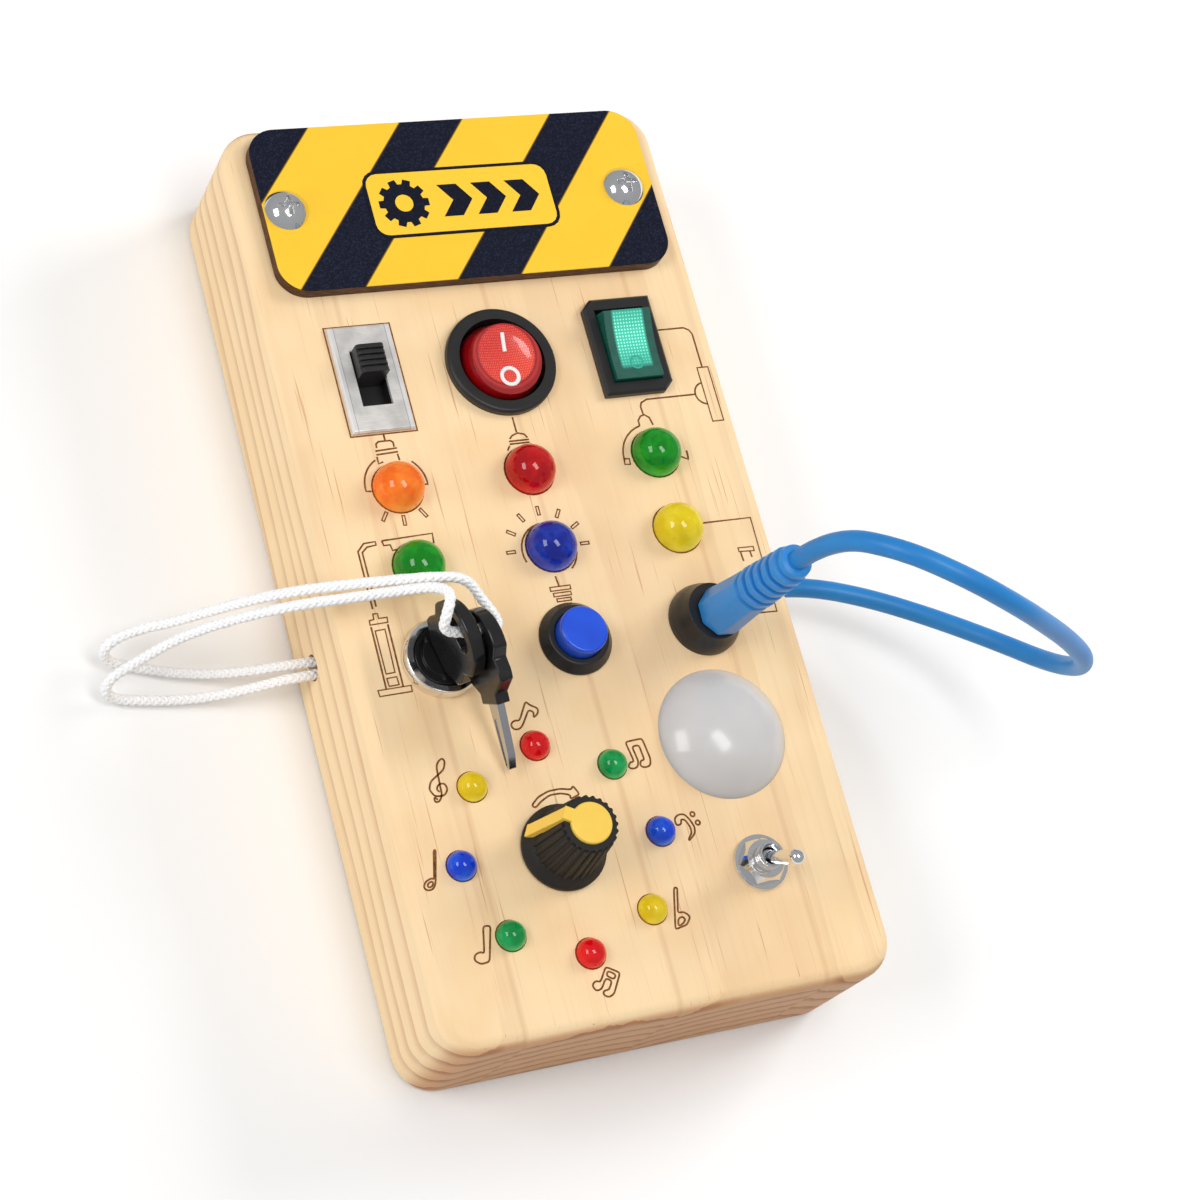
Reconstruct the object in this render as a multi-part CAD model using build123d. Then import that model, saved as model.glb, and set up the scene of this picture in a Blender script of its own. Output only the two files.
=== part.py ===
"""Wooden busy board: a hollow board of light wood with switches, lamps, a key lock,
a jack plug on a cord, a selector knob and a toggle, all wired behind its face.

Frame: X to the right, Y up the board towards its sign, Z out of its face.
The origin is the middle of the back, where the board lies. Sizes are millimetres.
"""

import os
from math import cos, radians, sin, tan

from build123d import *

# ---------------------------------------------------------------- driving sizes
# board
board_w = 94.3
board_l = 190.5
board_t = 31.0
corner_r = 8.0
front_edge_r = 3.0
back_edge_r = 0.8
face_t = 6.0
wall = 7.4
panel_t = 3.0
panel_recess = 3.5
panel_gap = 0.2
ledge = 3.0
post_side = 6.0
post_mid_y = 0.13386 * board_l

# screws of the back panel and the battery door
screw_r = 1.45
screw_head_r = 2.8
screw_head_t = 1.6
screw_l = 12.0
screw_fit = 0.05

# battery tray for three AAA cells lying across the board
cell_r = 5.2
cell_l = 44.5
cell_count = 3
cell_pitch = 10.9
tray_wall = 1.5
tray_end_room = 4.6
tray_depth = 13.4
tray_flange = 3.0
tray_post_gap = 0.4
tray_wall_gap = 1.2
tray_flange_t = 1.2
contact_t = 0.5
door_t = 1.5
door_lip = 1.6

# sign plate
sign_margin = 4.65
sign_w = board_w - 2 * sign_margin
sign_h = 36.0
sign_t = 3.0
sign_corner_r = 6.0
sign_x = -0.2
sign_y = board_l / 2 - sign_h / 2 - 2.25
sign_screw_x = (sign_x - sign_w / 2 + 4.8, sign_x + sign_w / 2 - 6.5)
sign_screw_head_r = 4.5
sign_screw_head_t = 2.5
sign_screw_r = 1.5
sign_screw_depth = 8.6

# slide switch
slide_x = -0.30435 * board_w
slide_y = 0.20157 * board_l
slide_plate_w = 13.1
slide_plate_l = 22.8
slide_plate_t = 1.0
slide_window_w = 6.3
slide_window_l = 11.8
slide_body_w = 9.0
slide_body_l = 18.0
slide_body_depth = 12.0
slide_channel_depth = 3.0
slide_travel = 5.5
slide_knob_w = 5.8
slide_knob_h = 4.5
slide_gap = 0.15

# round rocker switch
round_x = -0.00954 * board_w
round_y = 0.20577 * board_l
round_bezel_r = 11.5
round_bezel_t = 1.8
round_well_r = 9.0
round_body_r = 10.4
round_body_depth = 14.0
round_well_depth = 9.0
round_paddle_top_r = 7.3
round_swing = 18.0

# square rocker switch
square_x = 0.28738 * board_w
square_y = 0.20945 * board_l
square_bezel_w = 15.3
square_bezel_l = 21.4
square_bezel_t = 1.8
square_bezel_corner = 2.0
square_well_w = 10.9
square_well_l = 16.4
square_wall = 1.1
square_body_depth = 14.0
square_well_depth = 9.0
square_paddle_top_l = 14.4
square_swing = 16.0

# both rockers
rocker_gap = 0.25
rocker_pin_r = 1.0
rocker_pin_fit = 0.04
rocker_pivot_depth = 2.0
rocker_height = 6.2
rocker_dish_r = 26.0

# six bulbs in two rows of three
bulb_r = 5.1
bulb_neck = 0.5
bulb_flange_r = 5.8
bulb_flange_t = 1.4
bulb_pitch_x = 0.29586 * board_w
bulb_pitch_y = 0.08661 * board_l
bulb_mid_x = -0.01007 * board_w
bulb_mid_y = 0.03911 * board_l
bulb_row_rise = 0.575
lamp_fit = 0.1
lead_r = 0.3
lead_pitch = 2.54
board_pcb_t = 1.6
bulb_board_z = 17.0

# eight small lamps round the selector knob
ring_count = 8
ring_lamp_r = 2.9
ring_neck = 0.0
ring_flange_r = 3.3
ring_r = 0.21739 * board_w
ring_side_gap = 0.85
ring_foot_gap = 3.6
ring_x = -(board_w / 2 - wall - ring_flange_r - ring_r - ring_side_gap)
ring_y = -(board_l / 2 - wall - ring_flange_r - ring_r - ring_foot_gap)
ring_flange_t = 1.0
ring_board_r = ring_r + 2.7
ring_board_bore_r = ring_r - 6.5
ring_board_z = 19.0

# push button
button_x = -0.01166 * board_w
button_y = -0.10551 * board_l
button_bezel_r = 7.5
button_bezel_top_r = 6.1
button_bezel_t = 2.4
button_bush_r = 6.0
button_bush_depth = 17.0
button_cap_r = 4.85
button_cap_h = 5.6
button_cap_fit = 0.08
button_travel = 2.5
button_floor_t = 1.4
button_stem_r = 1.5
button_stem_out = 1.6
button_skirt = 4.0
button_clip_r = 2.4
spring_wire_r = 0.3
spring_r = 3.0
spring_turns = 6

# jack, plug and blue cord
jack_x = board_w / 2 - 20.35
jack_y = -0.10499 * board_l
jack_collar_r = 7.4
jack_collar_top_r = 5.3
jack_collar_h = 5.0
jack_bush_r = 5.5
jack_bush_depth = 11.0
jack_socket_r = 4.0
jack_socket_depth = 19.0
plug_pivot_z = 26.0
plug_lean_x = 0.108
plug_lean_y = -0.054
plug_base = 10.5
plug_r = 5.15
plug_end_r = 3.7
plug_l = 30.0
plug_pin_r = 1.75
plug_pin_l = 14.0
plug_pin_fit = 0.1
plug_pull = 0.016
cord_r = 2.0
cord_hole_y = jack_y + 10.5
cord_hole_z = 14.0
cord_fit = 0.15
cord_stop_r = 4.6
cord_stop_l = 4.5

# key lock
lock_x = -(board_w / 2 - 18.05)
lock_y = -0.10656 * board_l
lock_bezel_r = 7.9
lock_bezel_bore_r = 5.9
lock_bezel_t = 2.2
lock_barrel_r = 6.5
lock_barrel_depth = 20.0
lock_disc_r = 5.8
lock_disc_top = 2.0
lock_disc_gap = 0.3
lock_core_r = 4.6
lock_core_fit = 0.05
lock_floor = 1.5
lock_turn_deg = 90.0
lock_rest_deg = 12.0

# two like keys: a black grip with a nickel blade
key_t = 2.8
key_neck_half = 3.3
key_shoulder_half = 7.1
key_waist_half = 6.3
key_corner_half = 7.8
key_neck_l = 2.0
key_shoulder_l = 4.6
key_waist_l = 8.8
key_corner_l = 11.0
key_l = 18.2
key_slot_w = 7.2
key_slot_h = 3.4
key_slot_at = 14.0
key_blade_w = 4.2
key_blade_t = 1.6
key_blade_l = 12.8
key_tang_l = 6.0
key_tip_l = 3.0
key_tip_half = 1.0
key_seat_depth = 2.0
key_fit = 0.1
key_pull = 0.022

# the spare key hangs on the rope beside the one in the lock
spare_x = lock_x + 5.5
spare_y = lock_y - 12.4
spare_z = 38.45
spare_yaw = 8.0
spare_pitch = 21.5
spare_push = 0.0042

# white rope that ties both keys to the board
rope_r = 1.1
rope_hole_y = lock_y + 8.4
rope_hole_z = 10.7
rope_pair_pitch = 2.5
rope_hole_fit = 0.3
knot_r = 3.9
knot_gap = 0.3

# selector knob and its rotary switch
knob_skirt_r = 8.4
knob_skirt_t = 2.4
knob_lift = 0.4
knob_foot_r = 6.6
knob_top_r = 5.1
knob_top = 15.4
knob_rib_count = 24
knob_rib_r = 0.45
knob_cap_t = 0.9
knob_cap_r = 4.0
pointer_w = 2.5
pointer_foot = 1.6
pointer_deg = 150.0
shaft_r = 3.0
shaft_fit = 0.05
shaft_into_knob = 11.0
bushing_r = 3.5
rotary_body_r = 11.5
rotary_body_depth = 12.0
selector_range = 330.0

# milky dome lamp
dome_x = 0.25239 * board_w
dome_y = -0.22782 * board_l
dome_r = 13.3
dome_h = 6.4
dome_spigot_r = 10.4
dome_wall = 1.2
dome_spigot_l = 8.4
dome_led_side = 5.0
dome_led_t = 1.6

# toggle switch
toggle_x = 0.25345 * board_w
toggle_y = -0.36693 * board_l
toggle_washer_r = 5.5
toggle_washer_t = 0.8
toggle_nut_across = 8.4
toggle_nut_t = 2.2
toggle_bush_r = 2.4
toggle_bush_top = 6.0
toggle_bore_r = 1.6
toggle_mouth_r = 2.05
toggle_mouth_h = 1.1
toggle_pivot = 3.8
toggle_ball_r = 1.55
toggle_lever_r = 1.15
toggle_tip_r = 1.6
toggle_lever_l = 11.7
toggle_rest_deg = 17.0
toggle_swing = 34.0
toggle_body_w = 13.0
toggle_body_l = 8.0
toggle_body_depth = 12.0

# terminals and nuts behind the face
terminal_w = 2.6
terminal_t = 0.6
terminal_l = 3.6
nut_t = 2.6
nut_wall = 2.3

# ---------------------------------------------------------------- worked-out places
face_z = board_t
back_z = board_t - face_t
panel_z = panel_recess - panel_t
rim = wall - ledge
post_x = board_w / 2 - wall - post_side / 2
post_y = board_l / 2 - wall - post_side / 2
plug_dir = Vector(plug_lean_x, plug_lean_y, 1).normalized()
plug_plane = Plane(origin=(jack_x, jack_y, plug_pivot_z), x_dir=(1, 0, 0), z_dir=plug_dir)
knob_z = face_z + knob_lift
rope_hole_r = rope_pair_pitch / 2 + rope_r + rope_hole_fit
button_floor_z = face_z - button_bush_depth

os.makedirs("parts", exist_ok=True)


def save(name, *solids):
    """Write one node: a single solid, or a group of separate like solids."""
    shape = solids[0] if len(solids) == 1 else Compound(children=list(solids))
    export_step(shape, f"parts/{name}.step")


def disc(radius, low, high, x=0.0, y=0.0):
    """Upright cylinder between two heights."""
    return Pos(x, y, (low + high) / 2) * Cylinder(radius, high - low)


def ring(outer, inner, low, high, x=0.0, y=0.0):
    return disc(outer, low, high, x, y) - disc(inner, low - 1, high + 1, x, y)


def cone(low_r, high_r, low, high, x=0.0, y=0.0):
    return Pos(x, y, (low + high) / 2) * Cone(low_r, high_r, high - low)


def block(width, length, low, high, x=0.0, y=0.0):
    return Pos(x, y, (low + high) / 2) * Box(width, length, high - low)


def slab(width, length, radius, low, high, x=0.0, y=0.0):
    """Plate with rounded corners between two heights."""
    outline = Pos(x, y, low) * RectangleRounded(width, length, radius)
    return extrude(outline, high - low)


def lathe(*points):
    """Solid turned about Z from its (radius, height) outline."""
    outline = make_face(Polyline(*[(r, 0, z) for r, z in points], close=True))
    return revolve(outline, Axis.Z)


def dome_cap(radius, height, z, x=0.0, y=0.0):
    """Segment of a sphere that stands on a flat face at height z."""
    sphere_r = (radius**2 + height**2) / (2 * height)
    ball = Pos(x, y, z + height - sphere_r) * Sphere(sphere_r)
    return ball & block(2 * sphere_r, 2 * sphere_r, z, z + sphere_r, x, y)


def nut(outer, inner, x, y):
    """Ring nut pulled up against the back of the face."""
    return ring(outer, inner, back_z - nut_t, back_z, x, y)


def terminal(x, y, z, turned=False):
    """Solder tab that hangs from the underside of a switch body."""
    size = (terminal_t, terminal_w) if turned else (terminal_w, terminal_t)
    return block(*size, z - terminal_l, z, x, y)


def tube(points, radius, label):
    """Round tube along straight runs joined by the largest arcs that fit."""
    corners = []
    for before, here, after in zip(points, points[1:], points[2:]):
        come = Vector(*here) - Vector(*before)
        leave = Vector(*after) - Vector(*here)
        half_turn = radians(come.get_angle(leave)) / 2
        corners.append(0.45 * min(come.length, leave.length) / tan(half_turn))
    path = FilletPolyline(*points, radius=corners)
    start = Plane(origin=points[0], z_dir=path % 0)
    solid = sweep(start * Circle(radius), path=path)
    print(label, "length", round(path.length, 1), "radii", [round(r, 1) for r in corners])
    section = radius**2 * 3.14159
    print(label, "volume over section times length", round(solid.volume / section / path.length, 4))
    return solid


# ---------------------------------------------------------------- lamp places
def bulb_places():
    places = []
    for row in (0.5, -0.5):
        for column in (-1, 0, 1):
            y = bulb_mid_y + row * bulb_pitch_y + column * bulb_row_rise
            places.append((bulb_mid_x + column * bulb_pitch_x, y))
    return places


def ring_places():
    """Lamps clockwise from the top of the ring."""
    places = []
    for index in range(ring_count):
        turn = radians(90 - index * 360 / ring_count)
        places.append((ring_x + ring_r * cos(turn), ring_y + ring_r * sin(turn)))
    return places


# ---------------------------------------------------------------- board and back panel
def screw_places():
    """Six screws of the back panel: the corners and the middle of the long sides."""
    return [(side * post_x, y) for side in (-1, 1) for y in (-post_y, post_mid_y, post_y)]


def wood_body():
    body = slab(board_w, board_l, corner_r, 0, board_t)
    body = fillet(body.faces().sort_by(Axis.Z)[-1].edges(), front_edge_r)
    body = fillet(body.faces().sort_by(Axis.Z)[0].edges(), back_edge_r)
    inner_w = board_w - 2 * wall
    inner_l = board_l - 2 * wall
    hollow = block(inner_w, inner_l, -1, back_z)
    for x, y in screw_places():
        hollow -= block(post_side, post_side, 0, back_z, x, y)
    body -= hollow
    body -= slab(board_w - 2 * rim, board_l - 2 * rim, corner_r - rim, -1, panel_recess)
    for x, y in screw_places():
        body -= disc(screw_r + screw_fit, 0, panel_z + screw_l + 1, x, y)
    return body - face_holes() - side_holes()


def face_holes():
    through = (back_z - 1, face_z + 1)
    holes = [block(slide_body_w + 0.2, slide_body_l + 0.2, *through, slide_x, slide_y)]
    holes.append(disc(round_body_r + 0.1, *through, round_x, round_y))
    square_w = square_well_w + 2 * square_wall + 0.2
    square_l = square_well_l + 2 * square_wall + 0.2
    holes.append(block(square_w, square_l, *through, square_x, square_y))
    holes += [disc(bulb_r + lamp_fit, *through, x, y) for x, y in bulb_places()]
    holes += [disc(ring_lamp_r + lamp_fit, *through, x, y) for x, y in ring_places()]
    holes.append(disc(button_bush_r + 0.1, *through, button_x, button_y))
    holes.append(disc(jack_bush_r + 0.1, *through, jack_x, jack_y))
    holes.append(disc(lock_barrel_r + 0.1, *through, lock_x, lock_y))
    holes.append(disc(bushing_r + 0.1, *through, ring_x, ring_y))
    holes.append(disc(dome_spigot_r + 0.1, *through, dome_x, dome_y))
    holes.append(disc(toggle_bush_r + 0.1, *through, toggle_x, toggle_y))
    for x in sign_screw_x:
        tip = face_z + sign_t - sign_screw_depth
        holes.append(disc(sign_screw_r + screw_fit, tip - 0.1, face_z + 1, x, sign_y))
    return Compound(children=holes)


def side_holes():
    reach = wall + 2
    left = Pos(-board_w / 2 + wall / 2, rope_hole_y, rope_hole_z)
    right = Pos(board_w / 2 - wall / 2, cord_hole_y, cord_hole_z)
    rope_hole = left * Rot(0, 90, 0) * Cylinder(rope_hole_r, reach)
    cord_hole = right * Rot(0, 90, 0) * Cylinder(cord_r + cord_fit, reach)
    return Compound(children=[rope_hole, cord_hole])


tray_w = cell_l + 2 * tray_end_room + 2 * tray_wall
tray_l = cell_count * cell_pitch + 0.4 + 2 * tray_wall
door_w = tray_w - 2 * tray_wall
door_l = tray_l - 2 * tray_wall
tray_flange_x = board_w / 2 - wall - post_side - tray_w / 2 - tray_post_gap
battery_y = board_l / 2 - wall - tray_flange - tray_l / 2 - tray_wall_gap
door_boss_y = battery_y - tray_l / 2 - screw_head_r - 1.2


def back_panel():
    width = board_w - 2 * rim - 2 * panel_gap
    length = board_l - 2 * rim - 2 * panel_gap
    panel = slab(width, length, corner_r - rim - panel_gap, panel_z, panel_z + panel_t)
    for x, y in screw_places():
        panel -= countersunk_hole(x, y, panel_z)
    panel -= block(tray_w + 2 * screw_fit, tray_l + 2 * screw_fit, 0, panel_z + panel_t + 1, 0, battery_y)
    lip_l = 2 * (screw_head_r + 1.2)
    lip_y = battery_y - tray_l / 2 - lip_l / 2
    panel -= block(lip_l, lip_l + 0.1, panel_z - 1, panel_z + door_lip, 0, lip_y)
    return panel - disc(screw_r + screw_fit, 0, panel_z + panel_t + 1, 0, door_boss_y)


def countersunk_hole(x, y, z):
    head = cone(screw_head_r, screw_r + screw_fit, z, z + screw_head_t, x, y)
    return head + disc(screw_r + screw_fit, z, z + panel_t + 1, x, y)


def countersunk_screw(x, y, z, length):
    """Flat-head wood screw with a cross recess, driven from the back."""
    head = cone(screw_head_r, screw_r + screw_fit, z, z + screw_head_t, x, y)
    head -= block(10, 10, z - 1, z + 0.1, x, y)
    shank = disc(screw_r, z + screw_head_t, z + length - 1.5, x, y)
    tip = cone(screw_r, 0.3, z + length - 1.5, z + length, x, y)
    cross = block(3.0, 0.7, z, z + 0.9, x, y) + block(0.7, 3.0, z, z + 0.9, x, y)
    return head + shank + tip - cross


save("wood_body", wood_body())
save("back_panel", back_panel())
save("back_panel_screws", *[countersunk_screw(x, y, panel_z, screw_l) for x, y in screw_places()])


# ---------------------------------------------------------------- battery tray
def battery_tray():
    """Open box that holds the cells, hung in the panel by a flange inside the case."""
    top = panel_z + door_t + tray_depth + tray_wall
    tray = block(tray_w, tray_l, panel_z, top, 0, battery_y)
    flange_low = panel_z + panel_t
    tray += block(tray_w + 2 * tray_flange_x, tray_l + 2 * tray_flange, flange_low,
                  flange_low + tray_flange_t, 0, battery_y)
    boss_side = 2 * (screw_r + 1.4)
    tray += block(boss_side, screw_head_r * 2 + 2.4, flange_low, flange_low + 6, 0, door_boss_y)
    tray -= disc(screw_r + screw_fit, 0, flange_low + 7, 0, door_boss_y)
    return tray - block(door_w, door_l, panel_z - 1, top - tray_wall, 0, battery_y)


def cell_rows():
    first = battery_y - (cell_count - 1) * cell_pitch / 2
    return [first + row * cell_pitch for row in range(cell_count)]


cell_z = panel_z + door_t + tray_depth - cell_r - 0.02


def battery(y, flip):
    can = Rot(0, 90, 0) * Cylinder(cell_r, cell_l - 1.2)
    nub = Pos(cell_l / 2 - 0.6, 0, 0) * Rot(0, 90, 0) * Cylinder(1.8, 1.2)
    cell = Pos(-0.6, 0, 0) * can + nub
    return Pos(0, y, cell_z) * Rot(0, 0, 180 * flip) * cell


def battery_contacts():
    """Nickel plates at both ends, with a stepped spring button for each cell."""
    contacts = []
    for side in (-1, 1):
        plate_x = side * (door_w / 2 - contact_t / 2)
        contact = Pos(plate_x, battery_y, cell_z) * Box(contact_t, door_l - 1, 8)
        for y in cell_rows():
            depth = tray_end_room - contact_t
            seat = Pos(side * (door_w / 2 - contact_t - depth / 2), y, cell_z)
            contact += seat * Rot(0, -90 * side, 0) * Cone(3.2, 1.6, depth)
        contacts.append(contact)
    return contacts


def battery_door():
    door = block(door_w - 0.3, door_l - 0.3, panel_z, panel_z + door_t, 0, battery_y)
    lip_l = 2 * (screw_head_r + 1.2) - 0.3
    low_y = battery_y - tray_l / 2 - lip_l
    bridge = block(lip_l, lip_l + tray_wall + 1, panel_z, panel_z + door_t, 0, low_y + (lip_l + tray_wall + 1) / 2)
    bridge &= block(lip_l, 2 * door_l, panel_z, panel_z + door_t, 0, battery_y - door_l)
    door += bridge
    door -= countersunk_hole(0, door_boss_y, panel_z)
    for step in range(5):
        y = battery_y + door_l / 2 - 4 - 2 * step
        door -= block(door_w * 0.3, 0.9, panel_z - 1, panel_z + 0.5, 0, y)
    return door


tray = battery_tray()
tray -= block(2 * (screw_head_r + 1.2), tray_wall * 2 + 2, panel_z - 1, panel_z + door_t + 0.1, 0,
              battery_y - tray_l / 2)
save("battery_tray", tray)
save("batteries", *[battery(y, index % 2) for index, y in enumerate(cell_rows())])
save("battery_contacts", *battery_contacts())
save("battery_door", battery_door())
save("battery_door_screw", countersunk_screw(0, door_boss_y, panel_z, 8.0))


# ---------------------------------------------------------------- sign
def sign_plate():
    plate = slab(sign_w, sign_h, sign_corner_r, face_z, face_z + sign_t, sign_x, sign_y)
    for x in sign_screw_x:
        plate -= disc(sign_screw_r + 0.2, face_z - 1, face_z + sign_t + 1, x, sign_y)
    return plate


def sign_screw(x):
    """Domed chrome wood screw with a cross recess."""
    top = face_z + sign_t
    head = dome_cap(sign_screw_head_r, sign_screw_head_t, top, x, sign_y)
    shank = disc(sign_screw_r, top - sign_screw_depth, top, x, sign_y)
    cut_low = top + sign_screw_head_t - 1.6
    cross = block(4.4, 1.0, cut_low, cut_low + 3, x, sign_y)
    cross += block(1.0, 4.4, cut_low, cut_low + 3, x, sign_y)
    return head + shank - cross


save("sign_plate", sign_plate())
save("sign_screws", *[sign_screw(x) for x in sign_screw_x])


# ---------------------------------------------------------------- slide switch
def slide_switch_plate():
    low = face_z
    plate = block(slide_plate_w, slide_plate_l, low, low + slide_plate_t, slide_x, slide_y)
    plate = chamfer(plate.faces().sort_by(Axis.Z)[-1].edges(), 0.4)
    return plate - block(slide_window_w, slide_window_l, low - 1, low + 2, slide_x, slide_y)


def slide_switch_housing():
    low = face_z - slide_body_depth
    body = block(slide_body_w, slide_body_l, low, face_z, slide_x, slide_y)
    channel_low = face_z - slide_channel_depth
    return body - block(slide_window_w, slide_window_l, channel_low, face_z + 1, slide_x, slide_y)


slide_knob_l = slide_window_l - slide_travel - 2 * slide_gap
slide_knob_y = slide_y + slide_window_l / 2 - slide_gap - slide_knob_l / 2


def slide_switch_knob():
    """Ribbed slider that stands at the top end of its window."""
    low = face_z - slide_channel_depth
    high = face_z + slide_knob_h
    knob = block(slide_knob_w, slide_knob_l, low, high, slide_x, slide_knob_y)
    side_edges = knob.faces().sort_by(Axis.Z)[-1].edges().filter_by(Axis.Y)
    knob = chamfer(side_edges, 0.5)
    rib_pitch = slide_knob_l / 5
    for rib in range(4):
        y = slide_knob_y + (rib - 1.5) * rib_pitch
        knob -= block(slide_knob_w + 1, rib_pitch * 0.4, high - 0.7, high + 1, slide_x, y)
    return knob


save("slide_switch_plate", slide_switch_plate())
save("slide_switch_housing", slide_switch_housing())
save("slide_switch_knob", slide_switch_knob())


# ---------------------------------------------------------------- round rocker switch
rocker_pivot_z = face_z - rocker_pivot_depth


def pivot_pin(x, y, half_l, radius):
    return Pos(x, y, rocker_pivot_z) * Rot(0, 90, 0) * Cylinder(radius, 2 * half_l)


def tilted(shape, x, y, swing):
    """Turn a paddle about its pivot so that its upper side stands out."""
    return Pos(x, y, rocker_pivot_z) * Rot(swing / 2, 0, 0) * shape


def round_rocker_housing():
    body_low = face_z - round_body_depth
    body = disc(round_body_r, body_low, face_z, round_x, round_y)
    bezel = disc(round_bezel_r, face_z, face_z + round_bezel_t, round_x, round_y)
    body += fillet(bezel.edges().sort_by(Axis.Z)[-1], 0.8)
    body -= disc(round_well_r, face_z - round_well_depth, face_z + 5, round_x, round_y)
    return body - pivot_pin(round_x, round_y, round_body_r - 0.3, rocker_pin_r + rocker_pin_fit)


def round_rocker_paddle():
    """Round paddle with a shallow dish, on two pivot pins."""
    base_r = round_well_r - 0.4
    paddle = lathe((0, -1.2), (base_r, -1.2), (base_r, 0.8), (round_paddle_top_r, rocker_height), (0, rocker_height))
    paddle += block(4, 7, -4.5, -1.2)
    paddle -= Pos(0, 0, rocker_height - 0.7 + rocker_dish_r) * Sphere(rocker_dish_r)
    pins = Rot(0, 90, 0) * Cylinder(rocker_pin_r, 2 * (round_body_r - 0.4))
    return tilted(paddle + pins, round_x, round_y, round_swing)


save("round_rocker_housing", round_rocker_housing())
save("round_rocker_paddle", round_rocker_paddle())


# ---------------------------------------------------------------- square rocker switch
def square_rocker_housing():
    width = square_well_w + 2 * square_wall
    length = square_well_l + 2 * square_wall
    body = block(width, length, face_z - square_body_depth, face_z, square_x, square_y)
    bezel = block(square_bezel_w, square_bezel_l, face_z, face_z + square_bezel_t, square_x, square_y)
    corners = bezel.edges().filter_by(Axis.Z)
    bezel = chamfer([corners.sort_by(Axis.X)[:2].sort_by(Axis.Y)[-1],
                     corners.sort_by(Axis.X)[2:].sort_by(Axis.Y)[0]], square_bezel_corner)
    body += chamfer(bezel.faces().sort_by(Axis.Z)[-1].edges(), 0.5)
    body -= block(square_well_w, square_well_l, face_z - square_well_depth, face_z + 5, square_x, square_y)
    return body - pivot_pin(square_x, square_y, width / 2 - 0.2, rocker_pin_r + rocker_pin_fit)


def square_rocker_paddle():
    """Clear green paddle, longer at its foot than at its dished top."""
    width = square_well_w - 2 * rocker_gap
    foot = square_well_l / 2 - 0.5
    top = square_paddle_top_l / 2
    side = make_face(Polyline(
        (0, -foot, -1.0), (0, foot, -1.0), (0, foot, 0.8), (0, top, rocker_height),
        (0, -top, rocker_height), (0, -foot, 0.8), close=True))
    paddle = Pos(-width / 2, 0, 0) * extrude(side, width, dir=(1, 0, 0))
    dish = Pos(0, 0, rocker_height - 0.8 + rocker_dish_r) * Rot(0, 90, 0) * Cylinder(rocker_dish_r, 40)
    paddle -= dish
    paddle += block(4, 7, -4.5, -1.0)
    pin_l = square_well_w + 2 * square_wall - 0.6
    pins = Rot(0, 90, 0) * Cylinder(rocker_pin_r, pin_l)
    return tilted(paddle + pins, square_x, square_y, square_swing)


save("square_rocker_housing", square_rocker_housing())
save("square_rocker_paddle", square_rocker_paddle())


# ---------------------------------------------------------------- bulbs
def lamp(radius, neck, flange_r, flange_t, x, y):
    """Round-headed lamp pushed through the face from behind, with a stop flange."""
    top = face_z + neck
    lens = disc(radius, back_z, top, x, y)
    lens += (Pos(x, y, top) * Sphere(radius)) & block(4 * radius, 4 * radius, top - 0.1, top + radius, x, y)
    return lens + disc(flange_r, back_z - flange_t, back_z, x, y)


def leads(x, y, low, high):
    return [disc(lead_r, low, high, x + side * lead_pitch / 2, y) for side in (-1, 1)]


def lead_holes(places, low):
    holes = []
    for x, y in places:
        for side in (-1, 1):
            holes.append(disc(lead_r + 0.1, low - 1, low + board_pcb_t + 1, x + side * lead_pitch / 2, y))
    return Compound(children=holes)


bulb_names = ("bulb_orange", "bulb_red", "bulb_green_right", "bulb_green_left", "bulb_blue", "bulb_yellow")
for name, (x, y) in zip(bulb_names, bulb_places()):
    save(name, lamp(bulb_r, bulb_neck, bulb_flange_r, bulb_flange_t, x, y))

bulb_board = block(2 * bulb_pitch_x + 9, bulb_pitch_y + 9, bulb_board_z, bulb_board_z + board_pcb_t,
                   bulb_mid_x, bulb_mid_y)
save("bulb_board", bulb_board - lead_holes(bulb_places(), bulb_board_z))

bulb_leads = []
for x, y in bulb_places():
    bulb_leads += leads(x, y, bulb_board_z - 1.5, back_z - bulb_flange_t)
save("bulb_leads", *bulb_leads)

# ---------------------------------------------------------------- small lamps round the knob
for index, colour in enumerate(("red", "green", "blue", "yellow")):
    pair = [ring_places()[index], ring_places()[index + 4]]
    lamps = [lamp(ring_lamp_r, ring_neck, ring_flange_r, ring_flange_t, x, y) for x, y in pair]
    save(f"ring_leds_{colour}", *lamps)

ring_board = ring(ring_board_r, ring_board_bore_r, ring_board_z, ring_board_z + board_pcb_t, ring_x, ring_y)
save("ring_led_board", ring_board - lead_holes(ring_places(), ring_board_z))

ring_leads = []
for x, y in ring_places():
    ring_leads += leads(x, y, ring_board_z - 1.5, back_z - ring_flange_t)
save("ring_led_leads", *ring_leads)


# ---------------------------------------------------------------- push button
button_bore_r = button_cap_r + button_cap_fit


def push_button_bezel():
    """Shallow conical collar on a threaded bush that passes through the face."""
    bezel = lathe(
        (0, button_floor_z), (button_bush_r, button_floor_z), (button_bush_r, face_z),
        (button_bezel_r, face_z), (button_bezel_r, face_z + 0.4),
        (button_bezel_top_r, face_z + button_bezel_t), (0, face_z + button_bezel_t))
    bezel -= disc(button_bore_r, button_floor_z + button_floor_t, face_z + 5)
    bezel -= disc(button_stem_r + button_cap_fit, button_floor_z - 1, button_floor_z + 3)
    return Pos(button_x, button_y, 0) * bezel


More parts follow.
